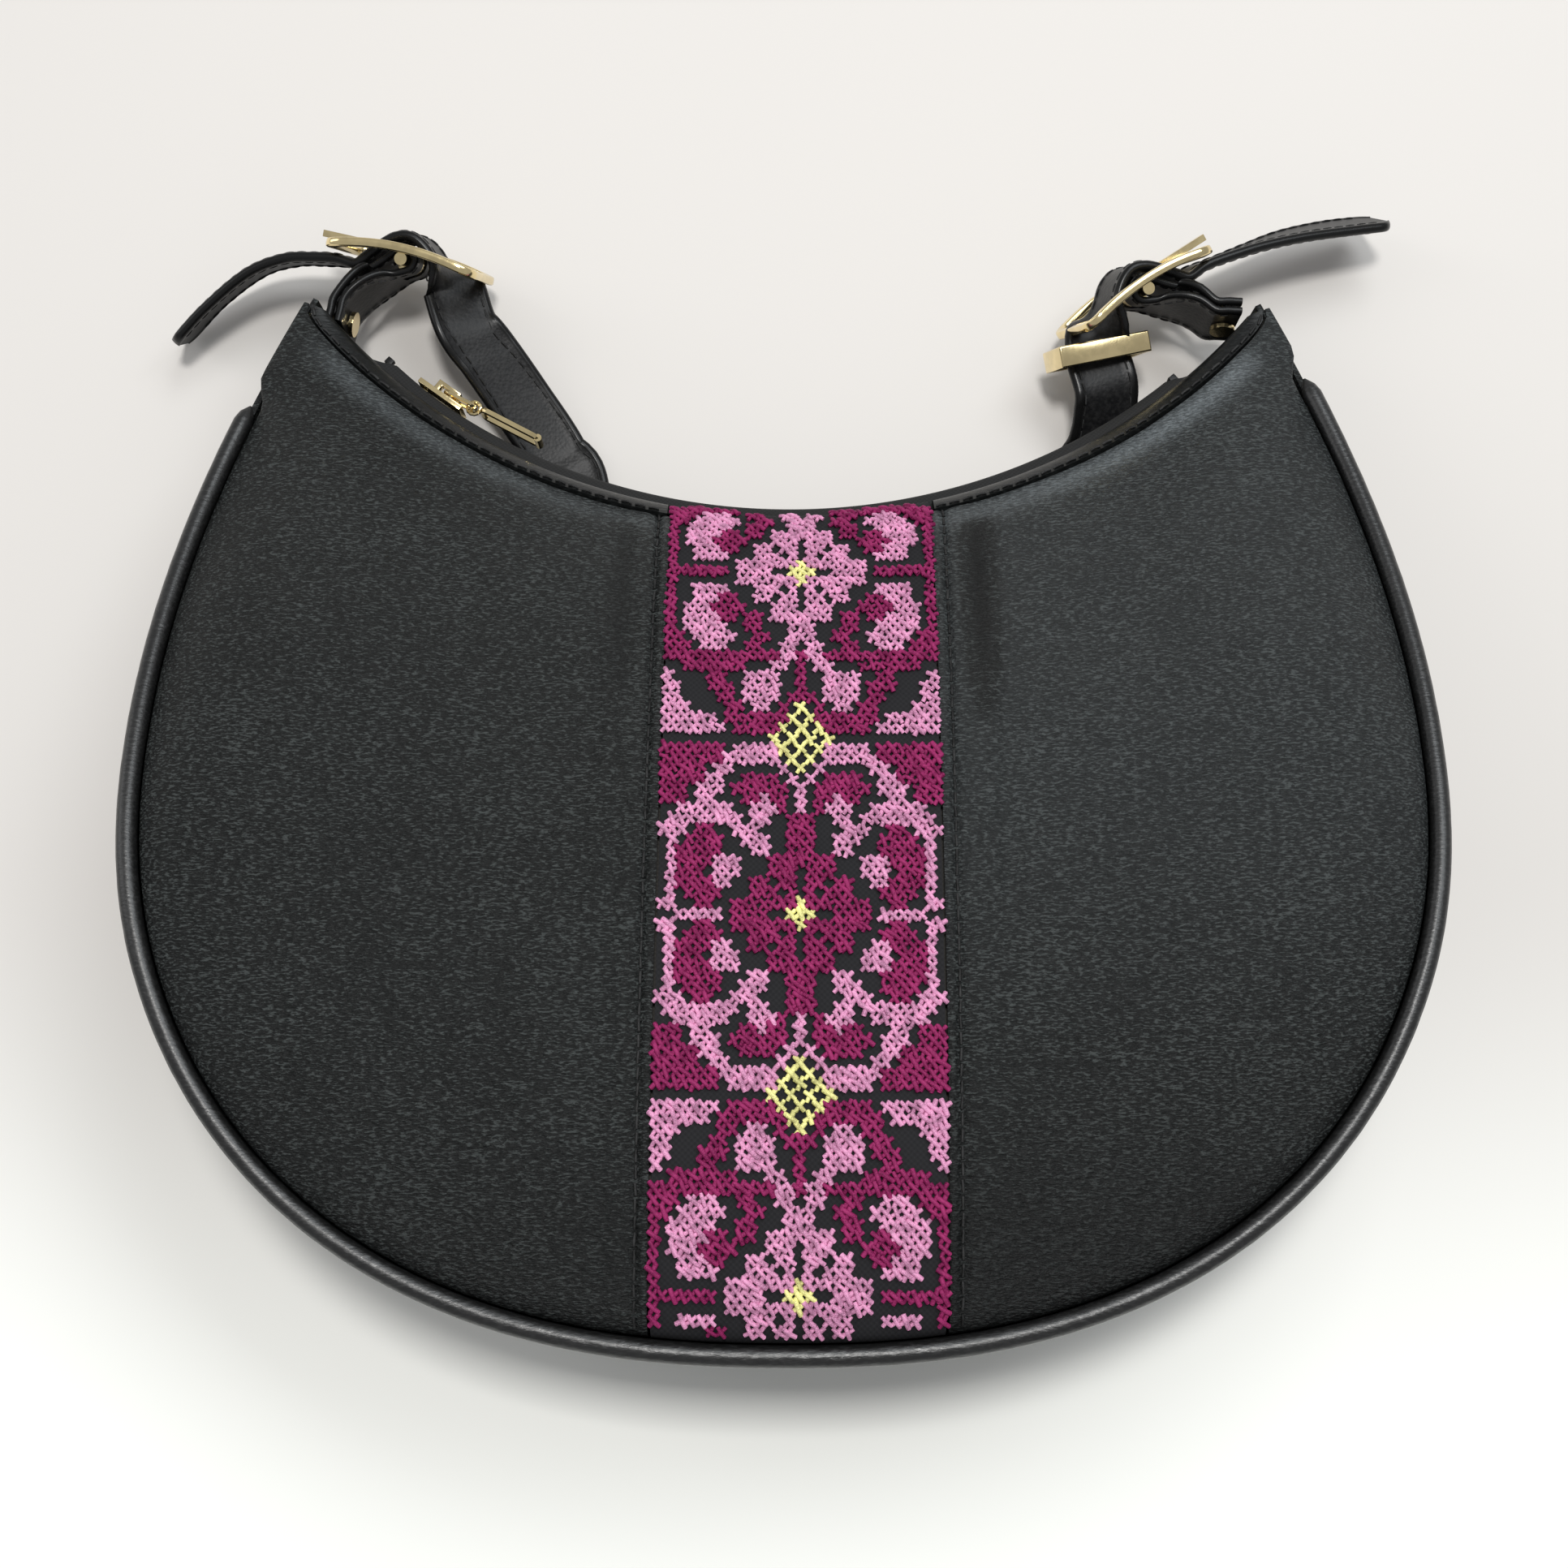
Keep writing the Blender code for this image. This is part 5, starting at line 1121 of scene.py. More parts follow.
# %% Strip of cloth and its cross stitches
ROW_RUNS = ((-34, 0.0113), (-17, 0.0497), (0, 0.0863), (17, 0.1259), (34, 0.1704))
CROSS_LIFT = 0.00022
CROSS = {
    "thread_length": math.hypot(STITCH_TALL, STITCH_WIDE) * 0.98,
    "thread_width": 0.00100,
    "arch": 0.00034,
    "leg_turn": math.atan2(STITCH_TALL, STITCH_WIDE),
    "crossed": True,
    "unevenness": 0.15,
    "seed": 7,
}
COTTONS = {"magenta": MAGENTA, "pink": PINK, "yellow": YELLOW}


def strip_net(lines=48, columns=120):
    gap = PIECE_GAP / STRIP_WIDTH
    return np.array([front_line(at, smooth_shares(columns)) for at in np.linspace(1.0 + gap, 2.0 - gap, lines)])


strip = sheet_piece("strip_ground_cloth", strip_net(), PANEL_THICK, GROUND, flip=True, slot_name="embroidery")
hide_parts("embroidered_strip")


def strip_rows():
    """Y of each row of stitches on the strip's middle line. The rows lie further apart near the mouth."""
    line = front_line(1.5, np.linspace(0.0, 1.0, 900))
    run = run_along(line)
    marks, runs = zip(*ROW_RUNS)
    places = {}
    for row in range(-HALF_REPEAT - 6, HALF_REPEAT + 12):
        beyond = row - min(max(row, marks[0]), marks[-1])
        at = np.interp(row, marks, runs) + beyond * STITCH_TALL
        if 0.0 < at < run[-1]:
            places[row] = float(np.interp(at, run, line[:, 1]))
    return places


def embroider():
    """Spots and turns for each cotton."""
    rows = strip_rows()
    shares = np.linspace(0.0, 1.0, 500)
    sewn = {cotton: ([], []) for cotton in COTTONS}
    for column in range(-COLUMNS_HALF, COLUMNS_HALF + 1):
        position = 1.5 + column * STITCH_WIDE / STRIP_WIDTH
        line = front_line(position, shares)
        next_line = front_line(position + 0.01, shares)
        for row, y in rows.items():
            cotton = thread_at(column, row)
            if cotton is None or not line[6, 1] < y < line[-4, 1]:
                continue
            spot, above = sampled([y, y + 0.0008], line[:, 1], line)
            right = sampled(y, next_line[:, 1], next_line)
            normal = np.cross(right - spot, above - spot)
            normal /= np.linalg.norm(normal)
            sewn[cotton][0].append(spot + normal * CROSS_LIFT)
            sewn[cotton][1].append(turn_of(right - spot, normal))
    return sewn


for cotton, (spots, turns) in embroider().items():
    sew(f"{cotton}_cross_stitches", np.array(spots), turns, COTTONS[cotton], slot_name="embroidery", **CROSS)

# %% [markdown]
# ## Seam stitches
# Black thread, about three millimetres a stitch, holds the facings and the folded panel edges down. Each
# row follows a line of the net it is sewn into, so it always lies on the leather.

# %% Seam stitches
STITCH_PITCH = 0.0032
FACING_LIFT, PANEL_LIFT = 0.00022, 0.00010
DASH = {"thread_length": 0.0024, "thread_width": 0.00062, "arch": 0.00016, "unevenness": 0.04}

for name, net in facing_nets.items():
    spots, turns = seam_spots(net[:, 1], outward_normals(net)[:, 1], STITCH_PITCH, FACING_LIFT)
    sew(f"{name}_stitches", spots, turns, SEWING, **DASH)


def sew_beside_strip(side, name):
    """The row that holds the folded edge of a panel, a few millimetres from the strip."""
    net = panel_nets[name]
    normals = outward_normals(net)
    strip_line = front_line(1.0 if side < 0 else 2.0, np.linspace(0.0, 1.0, 300))
    line, ups = [], []
    for column in range(2, net.shape[1]):
        points = net[:, column]
        off = side * (points[:, 0] - np.interp(points[:, 1], strip_line[:, 1], strip_line[:, 0]))
        order = np.argsort(off)
        line.append(sampled(SEAM_TO_STITCH, off[order], points[order]))
        ups.append(sampled(SEAM_TO_STITCH, off[order], normals[order, column]))
    spots, turns = seam_spots(np.array(line), np.array(ups), STITCH_PITCH, PANEL_LIFT)
    sew(f"{name}_stitches", spots, turns, SEWING, **DASH)


sew_beside_strip(-1, "front_panel_left")
sew_beside_strip(1, "front_panel_right")

# %% [markdown]
# ## Zip
# A coil zip closes the mouth: two woven tapes, each with a nylon coil sewn to its edge, a gold slider and
# two-part pull. The tapes bend in from the facings, so they are nets between the mouth's edge and the
# chain, and past the chain's ends they dip behind the facings.

# %% Tapes and coils
ZIP_HEIGHT, CHAIN_OUT, CHAIN_HALF = 0.01975, 0.0032, 0.0024
ZIP_LEFT, ZIP_RIGHT, SLIDER_ANGLE = -0.8438 * MOUTH_LIMIT, 0.8232 * MOUTH_LIMIT, -0.7409 * MOUTH_LIMIT
TAPE_TUCK = 0.050
TAPE_THICK, TAPE_LINES, TAPE_HIDDEN_OUT = 0.0005, 160, -0.0014
TAPE_KNOTS = ((TAPE_HIDDEN_OUT, 0.0), (0.0007, 0.04), (0.0024, 0.45), (CHAIN_OUT, 1.0))
COIL_PITCH = 0.0078
COIL_TURN = {"thread_length": 0.0023, "thread_width": 0.00088, "arch": 0.00022, "unevenness": 0.0}


def chain_spread(angle):
    """Half the opening between the two coils: a sliver, and more from the slider to the left end."""
    return 0.00015 + 0.0030 * max(0.0, (angle - SLIDER_ANGLE) / (ZIP_LEFT - SLIDER_ANGLE))


def tape_net(side):
    rows = []
    for angle in np.linspace(ZIP_LEFT - TAPE_TUCK, ZIP_RIGHT + TAPE_TUCK, TAPE_LINES):
        past_end = max(ZIP_LEFT - angle, angle - ZIP_RIGHT, 0.0) / TAPE_TUCK
        dip = 0.92 * past_end**0.7
        edge = ZIP_HEIGHT + side * (chain_spread(angle) + CHAIN_HALF + PIECE_GAP)
        tuck = mouth_height(angle, side > 0) - side * 0.0022
        row = np.empty((2 * len(TAPE_KNOTS) - 1, 3))
        for index, (out, share) in enumerate(TAPE_KNOTS):
            row[2 * index] = (*mouth_point(angle, mixed(out, TAPE_HIDDEN_OUT, dip)), mixed(tuck, edge, share))
        row[1::2] = mixed(row[:-1:2], row[2::2], 0.5)
        rows.append(row)
    return np.array(rows)


def coil_spots(side):
    """Spots and turns of one coil: each turn of the coil is an arched thread across the chain."""
    spots, turns = [], []
    for angle in np.arange(ZIP_LEFT + 0.004, ZIP_RIGHT - 0.003, COIL_PITCH):
        height = ZIP_HEIGHT + side * (chain_spread(angle) + CHAIN_HALF / 2.0)
        spots.append((*mouth_point(angle, CHAIN_OUT - 0.0002), height))
        turns.append(turn_of((0.0, 0.0, 1.0), (-math.sin(angle), math.cos(angle), 0.0)))
    return np.array(spots), turns


for side, name in ((1, "front"), (-1, "back")):
    tape = sheet_piece(f"zip_tape_{name}_weave", tape_net(side), TAPE_THICK, TAPE, lean=0.5, slot_name="zip_tape")
    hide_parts(f"zip_tape_{name}")
    coil = sew(f"zip_coil_{name}", *coil_spots(side), COIL, slot_name="zip_tape", **COIL_TURN)
    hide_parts(f"zip_teeth_{name}")
    for piece in (tape, coil):
        mouth_height(0.0, side > 0)
        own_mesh(piece)

# %% [markdown]
# ## Lining and pocket
# Inside hangs a pouch of dark cloth, sewn to the facings, with one slip pocket. It is seen only through
# the open mouth, and still the bag needs it: a bag without a lining is half a bag.

# %% Lining and pocket
LINING_THICK, LINING_INSET = 0.0008, 0.0029
POCKET_HALF_WIDTH, POCKET_BOTTOM_Y, POCKET_TOP_Y, POCKET_HEIGHT = 0.060, -0.060, 0.004, 0.0089


def net_area(net):
    """The area of a net's cells, in square metres."""
    first, second = net[1:, 1:] - net[:-1, :-1], net[1:, :-1] - net[:-1, 1:]
    return float(np.linalg.norm(np.cross(first, second), axis=-1).sum() / 2.0)


def cut_size(net):
    """Width and length of the rectangle that a net's cloth is cut from: its longest lines each way."""
    sizes = [float(np.linalg.norm(np.diff(net, axis=axis), axis=2).sum(axis=axis).max()) for axis in (0, 1)]
    print("cut from", [round(size * 1000.0) for size in sizes], "mm, area", round(net_area(net) * 1e6), "mm2")
    return sizes


def lining_net(lines=80):
    """A pouch from the front's mouth down round the bottom and up the back, one cloth's depth inside."""
    positions = np.linspace(0.16, 2.84, lines)
    front = np.array([front_line(at, np.linspace(0.03, 0.985, 44) * panel_share(at)) for at in positions])
    behind = np.array([back_line(at, np.linspace(0.15, 0.90, 36) * panel_share(at)) for at in positions])
    front = front + net_normals(front) * LINING_INSET
    behind = behind - net_normals(behind) * LINING_INSET
    return np.concatenate([front[:, ::-1], behind], axis=1)


lining_points = lining_net()
lining = sheet_piece("lining_pouch", lining_points, LINING_THICK, LINING, slot_name="lining_cloth")
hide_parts("lining")
cut_size(lining_points)


def pocket_net(columns=40, rows=24):
    """A flat pocket, a little full and rippled towards its open upper edge."""
    ys, up = np.linspace(POCKET_BOTTOM_Y, POCKET_TOP_Y, rows), np.linspace(0.0, 1.0, rows)
    net = []
    for share in np.linspace(-1.0, 1.0, columns):
        belly = 0.0012 * (1.0 - share**4) * up**1.5
        ripple = 0.0003 * np.sin(share * 9.0 + ys * 60.0) * up
        x = np.full(rows, STRIP_OFFSET + POCKET_HALF_WIDTH * share)
        net.append(np.column_stack([x, ys, POCKET_HEIGHT + belly + ripple]))
    return np.array(net)


pocket_points = pocket_net()
pocket = sheet_piece("slip_pocket", pocket_points, LINING_THICK, LINING, lean=0.5, slot_name="lining_cloth")
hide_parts("inner_pocket")
cut_size(pocket_points)

# %% [markdown]
# ## Strap and tabs
# The strap is one long strip of leather. Each end runs out through a buckle, over its centre bar and under the
# frame, and hangs free as a short tail; between the buckles the strap lies behind the bag. Its edges are
# rounded and painted, and a stitch row runs along each. Straps are modelled directly, as a section swept along
# the same line as in CAD, because a simulation would only blur their edges.

# %% Buckle axes and the strap's line
FRAME_HALF_LENGTH, FRAME_HALF_HEIGHT, BUCKLE_HEIGHT = 0.0185, 0.0130, 0.0190
FRAME_WIDE, FRAME_THICK, PRONG_THICK, BAR_RADIUS = 0.0028, 0.0022, 0.0016, 0.0015
BUCKLE_PLACES = {-1: (0.0172 - MOUTH_HALF, 0.1370), 1: (MOUTH_HALF - 0.0246, 0.1301)}
BUCKLE_DEGREES = {-1: 166.9, 1: 34.3}
ARCH_HEIGHT, ARCH_REACH = 0.0057, 0.89
TAIL_LEAN = math.radians(16.0)
STRAP_LIE, LOOP_MIDDLE_Y = 0.0019, 0.010


def buckle_place(side, lean_degrees=22.0):
    """A buckle's own axes: X to its outer end, Y away from the bag, Z up, leaned over the bag."""
    lean, turn = math.radians(lean_degrees), math.radians(BUCKLE_DEGREES[side])
    along = Vector((math.cos(turn), math.sin(turn), 0.0))
    level = Vector((-along.y, along.x, 0.0)) * side
    outward = level * math.cos(lean) + Vector((0.0, 0.0, math.sin(lean)))
    up = Vector((0.0, 0.0, math.cos(lean))) - level * math.sin(lean)
    axes = Matrix((along, outward, up)).transposed().to_4x4()
    axes.translation = (*BUCKLE_PLACES[side], BUCKLE_HEIGHT)
    return axes


def knot(place, width):
    """A place on the strap's middle line with the way its width points."""
    return (*place, *Vector(width).normalized())


def beside_buckle(side, table):
    """Knots from a table of: along and outwards in half frame lengths, and the width's turn in degrees."""
    axes = buckle_place(side)
    knots = []
    for along, out, degrees in table:
        turn = math.radians(degrees)
        lean = TAIL_LEAN * smooth_step(1.2, 2.9, along)
        width = axes.to_3x3() @ Vector((math.sin(turn), -math.sin(lean), math.cos(turn)))
        knots.append(knot(axes @ (Vector((along, out, 0.0)) * FRAME_HALF_LENGTH), width))
    return knots


def over_bar(side):
    """Knots of the arch over the centre bar."""
    axes = buckle_place(side)
    knots = []
    for share in (0.62, 0.50, 0.36, 0.18, 0.0, -0.18, -0.36):
        along = share * FRAME_HALF_LENGTH
        height = ARCH_HEIGHT * math.cos(math.pi * along / (ARCH_REACH * FRAME_HALF_LENGTH))
        knots.append(knot(axes @ Vector((along, height, 0.0)), axes.col[2].to_3d()))
    return knots


LEFT_TAIL = (
    (2.86, -1.66, 0), (2.48, -1.08, 0), (2.01, -0.56, 0), (1.57, -0.31, 0), (1.20, -0.22, 0), (0.89, -0.17, 0),
)
RIGHT_TAIL = (
    (0.89, -0.17, 0), (1.25, -0.24, 0), (1.72, -0.34, 0), (2.28, -0.49, 0), (2.88, -0.72, 0), (3.46, -0.98, 0),
)
LEFT_RUN = ((-0.46, -0.03, 14), (-0.54, -0.12, 40), (-0.63, -0.23, 66))
RIGHT_RUN = ((-0.46, -0.03, 14), (-0.55, -0.12, 40), (-0.66, -0.20, 68), (-0.77, -0.31, 86), (-0.84, -0.46, 90))
LEFT_LEG = (
    ((0.0308, 0.1215, 0.0168), (-0.92, 0.02, 0.34)),
    ((0.0358, 0.1155, 0.0138), (-0.90, -0.14, 0.32)),
    ((0.0435, 0.1055, 0.0086), (-0.88, -0.38, 0.22)),
    ((0.0518, 0.0935, 0.0040), (-0.87, -0.48, 0.08)),
    ((0.0575, 0.0800, 0.0019), (-0.94, -0.34, 0.0)),
)
RIGHT_LEG = (
    ((-0.0310, 0.1080, 0.0146), (0.90, 0.42, 0.0)),
    ((-0.0308, 0.1035, 0.0117), (0.95, 0.30, 0.0)),
    ((-0.0311, 0.0990, 0.0080), (0.98, 0.20, 0.0)),
    ((-0.0325, 0.0945, 0.0046), (0.99, 0.10, 0.0)),
    ((-0.0362, 0.0880, 0.0026), (1.0, 0.05, 0.0)),
    ((-0.0372, 0.0790, 0.0019), (1.0, 0.0, 0.0)),
)


def strap_line():
    """The strap's middle line with its width's way: left tail, buckle and leg, the loop, and the right ones."""
    left = [knot((x - MOUTH_HALF, y, z), width) for (x, y, z), width in LEFT_LEG]
    right = [knot((x + MOUTH_HALF, y, z), width) for (x, y, z), width in RIGHT_LEG]
    middle, radius = (left[-1][0] + right[-1][0]) / 2.0, (right[-1][0] - left[-1][0]) / 2.0
    loop = []
    for step in range(9):
        turn = math.pi + math.pi * step / 8
        away = (math.cos(turn), math.sin(turn), 0.0)
        loop.append(knot((middle + radius * away[0], LOOP_MIDDLE_Y + radius * away[1], STRAP_LIE), away))
    knots = beside_buckle(-1, LEFT_TAIL) + over_bar(-1) + beside_buckle(-1, LEFT_RUN) + left + loop
    knots += right[::-1] + beside_buckle(1, RIGHT_RUN)[::-1] + over_bar(1)[::-1] + beside_buckle(1, RIGHT_TAIL)
    return smooth_line(knots, 0.001)


line = strap_line()
print("strap's line", len(line), "points")

# %% Ribbons with rounded edges
SECTION_HALF = (0.25, 0.38, 0.40, 0.42, 0.45, 0.478, 0.494, 0.5)
SECTION_ACROSS = (*(-share for share in SECTION_HALF[::-1]), 0.0, *SECTION_HALF)
GROOVE_FROM_MIDDLE = 0.39


def section_height(across, thick, half_width, groove):
    """Half the thickness at a place across a strap: round at the edge, with a bead and a groove beside it."""
    from_edge = (0.5 - abs(across)) * 2.0 * half_width
    rounding = min(1.0, from_edge / (thick * 0.5))
    height = thick / 2.0 * math.sqrt(max(0.0, 1.0 - (1.0 - rounding) ** 2))
    return height - (groove if abs(across) <= GROOVE_FROM_MIDDLE else 0.0)


def ribbon_rings(places, widths, half_widths, thick, groove=0.00022):
    """Rings of a flat strap with rounded edges, and the UV of each ring point."""
    tangent = np.gradient(places, axis=0)
    tangent /= np.linalg.norm(tangent, axis=1, keepdims=True)
    widths = widths - tangent * np.sum(widths * tangent, axis=1, keepdims=True)
    widths /= np.linalg.norm(widths, axis=1, keepdims=True)
    normals = np.cross(tangent, widths)
    run = run_along(places)
    rings, uv = [], []
    for index, place in enumerate(places):
        half = half_widths[index]
        face = [(share, section_height(share, thick, max(half, 0.001), groove)) for share in SECTION_ACROSS]
        path = face + [(share, -height) for share, height in reversed(face[1:-1])]
        rings.append([place + widths[index] * share * 2.0 * half + normals[index] * height for share, height in path])
        uv += [(share + 0.5, run[index]) for share, _ in path]
    return np.array(rings), np.array(uv), normals


def carve(piece, cutters):
    """Cuts solids out of a piece and leaves a plain mesh."""
    for cutter in cutters:
        boolean = piece.modifiers.new("hole", "BOOLEAN")
        boolean.operation, boolean.solver, boolean.object = "DIFFERENCE", "EXACT", cutter
    mesh = plain_mesh(piece)
    piece.modifiers.clear()
    piece.data = mesh
    mesh.set_sharp_from_angle(angle=math.radians(50.0))
    for cutter in cutters:
        bpy.data.objects.remove(cutter, do_unlink=True)


def cutter_box(axes, low, high):
    """A box between two corners in a buckle's axes."""
    work = bmesh.new()
    bmesh.ops.create_cube(work, size=1.0)
    low, high = Vector(low), Vector(high)
    scale = Matrix.Diagonal((*(high - low), 1.0))
    move = Matrix.Translation(Vector(-BAG_MIDDLE)) @ axes @ Matrix.Translation((low + high) / 2.0) @ scale
    bmesh.ops.transform(work, matrix=move, verts=work.verts)
    bmesh.ops.recalc_face_normals(work, faces=work.faces)
    return shown("cutter", mesh_from(work, "cutter"))


def edge_rows(places, widths, normals, half_width, inset, pitch, thick):
    """Stitch spots along both edges of a strap, on both faces."""
    spots, turns = [], []
    for side, face in ((-1.0, 1.0), (1.0, 1.0), (-1.0, -1.0), (1.0, -1.0)):
        line = places + widths * side * (half_width - inset) + normals * face * (thick / 2.0 - 0.0001)
        some, ways = seam_spots(line, normals * face, pitch, 0.0)
        spots.append(some)
        turns += ways
    return np.vstack(spots), turns


print("ribbon section of", len(SECTION_ACROSS), "points across")

# %% Strap
STRAP_WIDTH, STRAP_THICK = 0.0160, 0.0024
TIP_LENGTH, TIP_NARROWER = 0.0032, 0.30
PRONG_UP = (FRAME_THICK + PRONG_THICK) / 2.0 + PIECE_GAP
HOLE_LOW = (BAR_RADIUS, PRONG_UP - 0.0018, -0.0018)
HOLE_HIGH = (0.0111, PRONG_UP + 0.0030, 0.0018)
STRAP_STITCH = {"thread_length": 0.0021, "thread_width": 0.00045, "arch": 0.0001, "unevenness": 0.03}
STRAP_ROWS = {"inset": 0.0021, "pitch": 0.0030}

strap_run = run_along(line[:, :3])
from_tip = np.minimum(strap_run, strap_run[-1] - strap_run)
tip = 1.0 - TIP_NARROWER * (1.0 - np.clip(from_tip / TIP_LENGTH, 0.0, 1.0)) ** 2.2
rings, uv, strap_normals = ribbon_rings(line[:, :3], line[:, 3:], tip * STRAP_WIDTH / 2.0, STRAP_THICK)
strap = rolled_piece("strap_leather_run", rings, STRAP, uv=uv, body=None, slot_name="strap_leather")
carve(strap, [cutter_box(buckle_place(side), HOLE_LOW, HOLE_HIGH) for side in (-1, 1)])
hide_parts("strap_end_left", "strap_bend_left", "strap_loop", "strap_bend_right", "strap_end_right")
sewn = slice(4, -4)
middle_line = (line[sewn, :3], line[sewn, 3:], strap_normals[sewn])
spots, turns = edge_rows(*middle_line, half_width=STRAP_WIDTH / 2.0, thick=STRAP_THICK, **STRAP_ROWS)
strap_stitches = sew(
    "strap_edge_stitches", spots, turns, SEWING, body=None, slot_name="strap_leather", **STRAP_STITCH
)
for piece in (strap, strap_stitches):
    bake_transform(piece)
print("strap", round(strap_run[-1], 3), "m long")

# %% Tabs
TAB_WIDTH, TAB_THICK = 0.0165, 0.0018
TAB_ROOT = {-1: ((0.01203, -0.01591), (0.01184, -0.02183)), 1: ((0.01147, -0.01554), (0.01628, -0.01924))}
TAB_OUTER = ((0.60, -0.54), (0.46, -0.27), (0.25, -0.045))
TAB_INNER = ((0.06, -0.20), (0.30, -0.42), (0.50, -0.66))
TAB_WRAP_DEGREES = (55.0, 95.0, 135.0, 175.0, 215.0, 250.0)
TAB_HOLE, TAB_HOLE_HALF = BAR_RADIUS + TAB_THICK + 0.0011, 0.0017
TAB_STITCH = {"thread_length": 0.0019, "thread_width": 0.00042, "arch": 0.0001, "unevenness": 0.03}
TAB_ROWS = {"inset": 0.0018, "pitch": 0.0028}


def tab_rows(side):
    """A tab's middle line: from the horn, round the centre bar inside the strap's arch, and back."""
    axes, upright = buckle_place(side), buckle_place(side, 0.0)
    near, far = (np.array(place) for place in TAB_ROOT[side])
    stem = (far - near) / np.linalg.norm(far - near)
    apart = np.array([-stem[1], stem[0]]) * (TAB_THICK / 2.0 + PIECE_GAP)
    stem_knots = np.array([far, (near + far) / 2.0, near])
    wrap, turns = BAR_RADIUS + PIECE_GAP + TAB_THICK / 2.0, np.radians(TAB_WRAP_DEGREES)
    knots = np.vstack([
        stem_knots + apart,
        np.array(TAB_OUTER) * FRAME_HALF_LENGTH,
        wrap * np.column_stack([np.cos(turns), np.sin(turns)]),
        np.array(TAB_INNER) * FRAME_HALF_LENGTH,
        stem_knots[::-1] - apart,
    ])
    places, widths = [], []
    for x, y in smooth_line(knots, 0.0009):
        lean = float(smooth_step(-0.62 * FRAME_HALF_LENGTH, -0.15 * FRAME_HALF_LENGTH, y))
        spot = Vector((x, y, 0.0))
        places.append((upright @ spot).lerp(axes @ spot, lean))
        widths.append(upright.col[2].to_3d().lerp(axes.col[2].to_3d(), lean).normalized())
    return np.array(places), np.array(widths), axes


for side, name in ((-1, "tab_left"), (1, "tab_right")):
    places, widths, axes = tab_rows(side)
    rings, uv, tab_normals = ribbon_rings(places, widths, np.full(len(places), TAB_WIDTH / 2.0), TAB_THICK, 0.00012)
    tab = rolled_piece(f"{name}_leather", rings, STRAP, uv=uv, body=None, slot_name="strap_leather")
    carve(tab, [cutter_box(axes, (-TAB_HOLE, -TAB_HOLE, -TAB_HOLE_HALF), (TAB_HOLE, TAB_HOLE, TAB_HOLE_HALF))])
    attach(tab, "bag")
    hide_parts(name)
    middle_line = (places[2:-2], widths[2:-2], -tab_normals[2:-2])
    spots, turns = edge_rows(*middle_line, half_width=TAB_WIDTH / 2.0, thick=TAB_THICK, **TAB_ROWS)
    sew(f"{name}_stitches", spots, turns, SEWING, slot_name="strap_leather", **TAB_STITCH)

# %% [markdown]
# ## Metal
# All metal is pale gold plate, except the zip stops: they are made black and non-metal, so they sink into
# the dark tape. Cast buckles have soft edges, so the frames are swept again with a rounded
# section along the same bowed path; keeper, slider and zip stops are the CAD solids with their edges
# rounded, because one bright line along each edge is what makes plate look like metal.

# %% Buckle frames
FRAME_CORNER, FRAME_BOW, FRAME_SQUARENESS = 0.0030, 0.0024, 0.45


def frame_path(half, high):
    """A rectangle with rounded corners, as points along it, counterclockwise from its right side's top."""
    inner = np.array([half - FRAME_CORNER, high - FRAME_CORNER])
    corners = np.array([(1, 1), (-1, 1), (-1, -1), (1, -1)])
    path = []
    for quarter, corner in enumerate(corners):
        for turn in math.pi / 2.0 * (quarter + np.arange(9) / 8.0):
            path.append(corner * inner + FRAME_CORNER * np.array([math.cos(turn), math.sin(turn)]))
        axis, count = ((0, 26), (1, 12))[quarter % 2]
        start, goal = path[-1], path[-1].copy()
        goal[axis] = corners[(quarter + 1) % 4][axis] * inner[axis]
        path += [mixed(start, goal, share) for share in np.linspace(0.0, 1.0, count)[1:-1]]
    return np.array(path)


def squared(part):
    """A sine or cosine pushed outwards, so that a circle becomes a square with soft corners."""
    return math.copysign(abs(part) ** FRAME_SQUARENESS, part)


def bowed_frame(side):
    """Rings of a buckle's rectangular frame, bowed along its length."""
    axes = buckle_place(side)
    half = FRAME_HALF_LENGTH - FRAME_WIDE / 2.0
    path = frame_path(half, FRAME_HALF_HEIGHT - FRAME_WIDE / 2.0)
    run = np.roll(path, -1, axis=0) - np.roll(path, 1, axis=0)
    run /= np.linalg.norm(run, axis=1, keepdims=True)
    rings = []
    for (along, up), (dx, dy) in zip(path, run):
        bow = FRAME_BOW * (1.0 - (along / half) ** 2)
        ring = []
        for turn in np.linspace(0.0, 2.0 * math.pi, 16, endpoint=False):
            across = FRAME_WIDE / 2.0 * squared(math.cos(turn))
            deep = FRAME_THICK / 2.0 * squared(math.sin(turn))
            ring.append(tuple(axes @ Vector((along + dy * across, bow + deep, up - dx * across))))
        rings.append(ring)
    return np.array(rings)


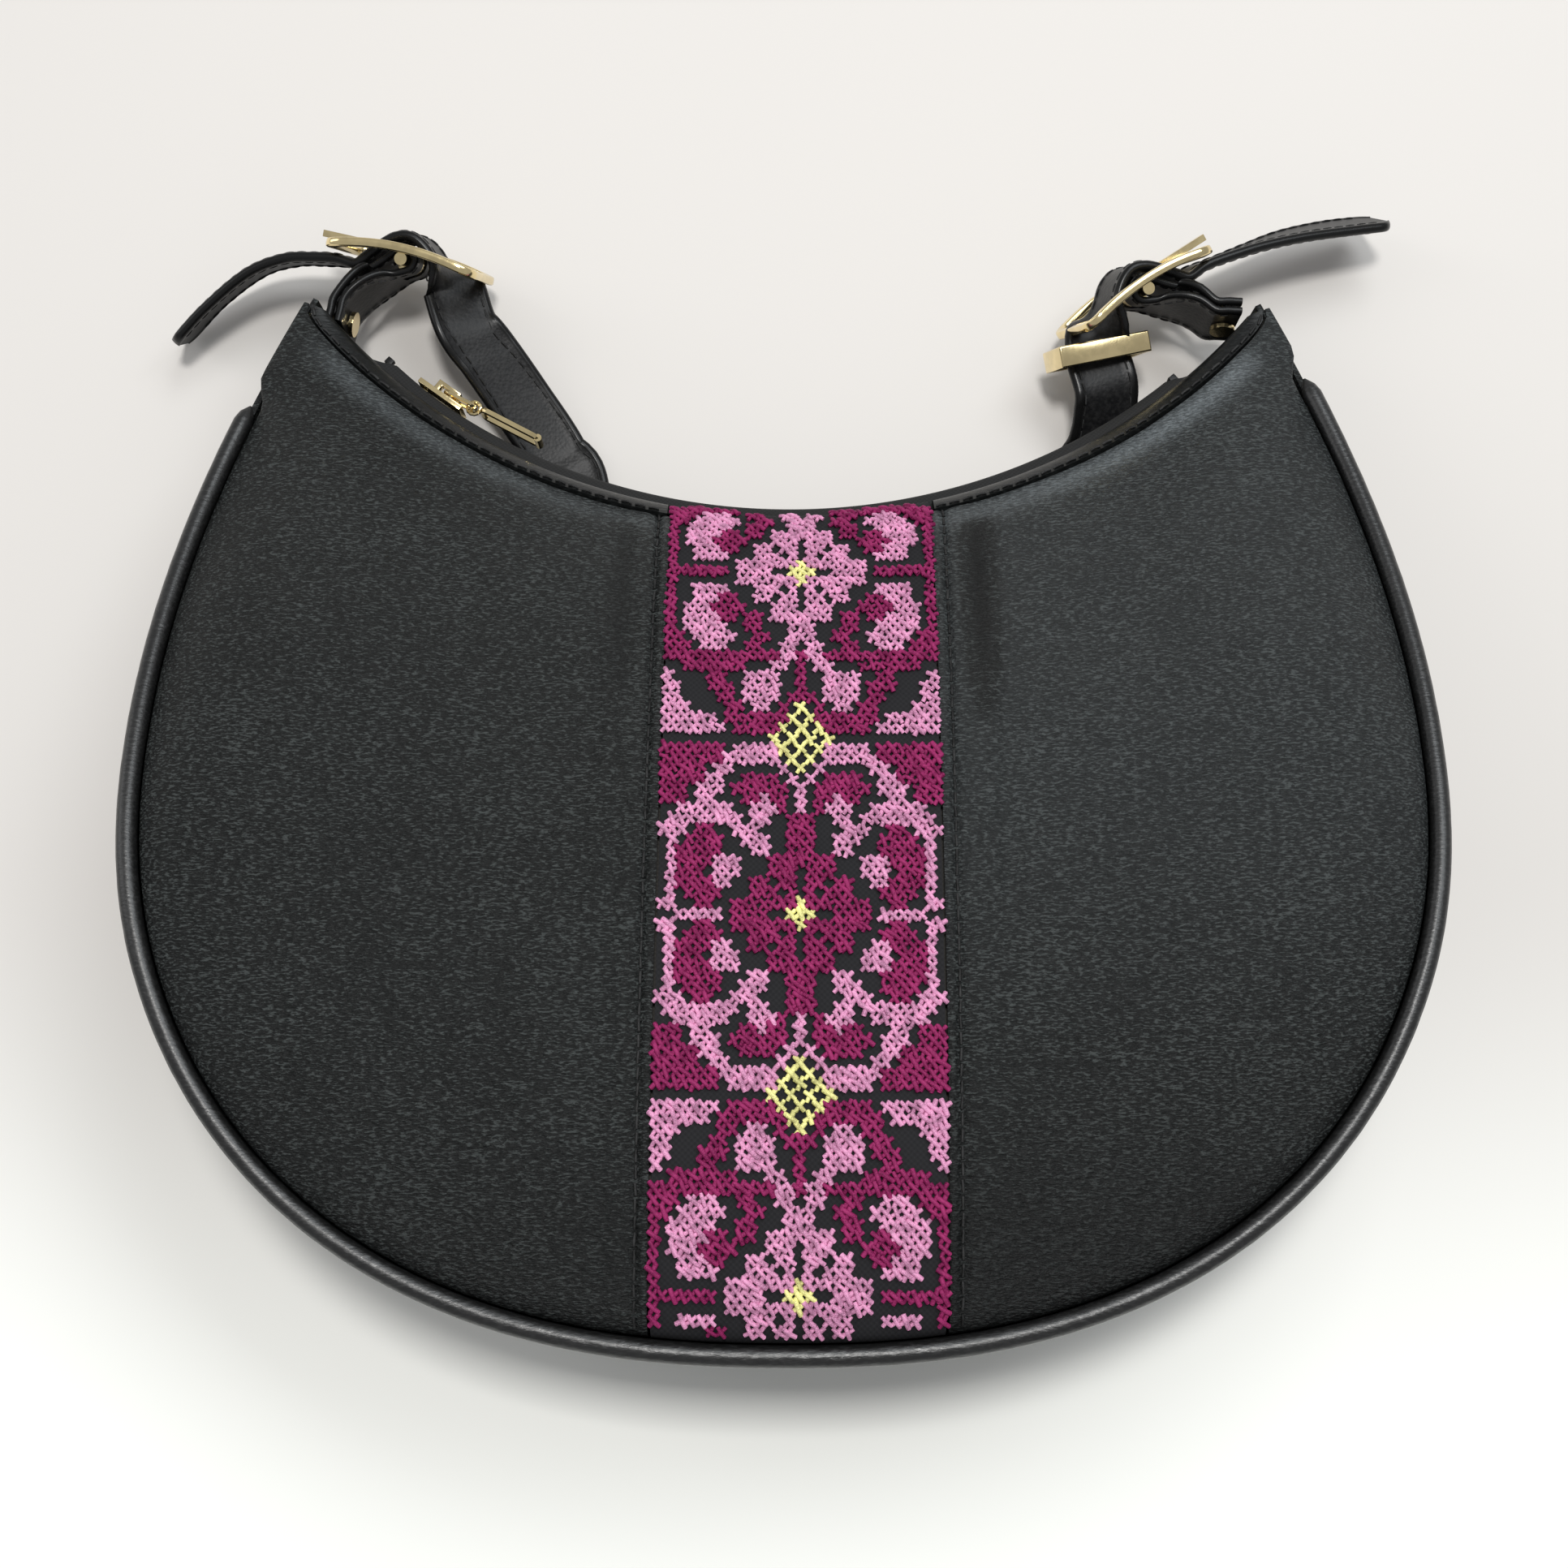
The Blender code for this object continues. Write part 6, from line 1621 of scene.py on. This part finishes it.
for side, name in ((-1, "buckle_frame_left"), (1, "buckle_frame_right")):
    plated = rolled_piece(f"{name}_plated", bowed_frame(side), GOLD, closed=True, slot_name="gold_metal", sharp=60.0)
    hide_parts(name)
    print(plated.name, len(plated.data.vertices), "points")

# %% Rounded CAD pieces
def rounded_copy(node, width, body, segments=3, tip_degrees=0.0, finish=GOLD, size=1.0):
    """A CAD solid again with edges rounded by a width, tipped about the vertical where it has the play."""
    work = bmesh.new()
    work.from_mesh(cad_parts[node].data)
    bmesh.ops.remove_doubles(work, verts=work.verts, dist=0.00001)
    bmesh.ops.dissolve_limit(work, angle_limit=math.radians(2.0), verts=work.verts, edges=work.edges)
    middle = sum((vert.co for vert in work.verts), Vector()) / len(work.verts)
    change = Matrix.Rotation(math.radians(tip_degrees), 3, "Z") * size
    for vert in work.verts:
        vert.co = middle + change @ (vert.co - middle)
    mesh = mesh_from(work, f"{node}_plated")
    mesh.materials.clear()
    mesh.materials.append(finish)
    piece = shown(f"{node}_plated", mesh)
    bevel = piece.modifiers.new("rounding", "BEVEL")
    bevel.width, bevel.segments, bevel.limit_method = width, segments, "ANGLE"
    bevel.angle_limit = math.radians(35.0)
    piece.data = plain_mesh(piece)
    piece.modifiers.clear()
    piece.data.shade_smooth()
    piece.data.set_sharp_from_angle(angle=math.radians(30.0))
    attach(piece, body)
    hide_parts(node)


ZIP_STOPS = ("zip_stop_back", "zip_stop_end", "zip_stop_front")
PLAIN_METAL = (
    "buckle_bar_left", "buckle_bar_right", "prong_left", "prong_right", "pull_link",
    "rivet_left", "rivet_right", "zip_pull",
)

rounded_copy("strap_keeper", 0.00045, "keeper", segments=4, tip_degrees=4.5)
rounded_copy("zip_slider", 0.00028, "zip_slider")
for node in ZIP_STOPS:
    # The zip stops are made black and non-metal, so they sink into the dark tape.
    rounded_copy(node, 0.00012, "bag", segments=2, finish=DARK_ZIP_STOPS, size=0.62)
for node in PLAIN_METAL:
    for material_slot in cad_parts[node].material_slots:
        material_slot.material = GOLD
print("keeper, slider,", len(ZIP_STOPS), "zip stops and", len(PLAIN_METAL), "pieces as they are in CAD")
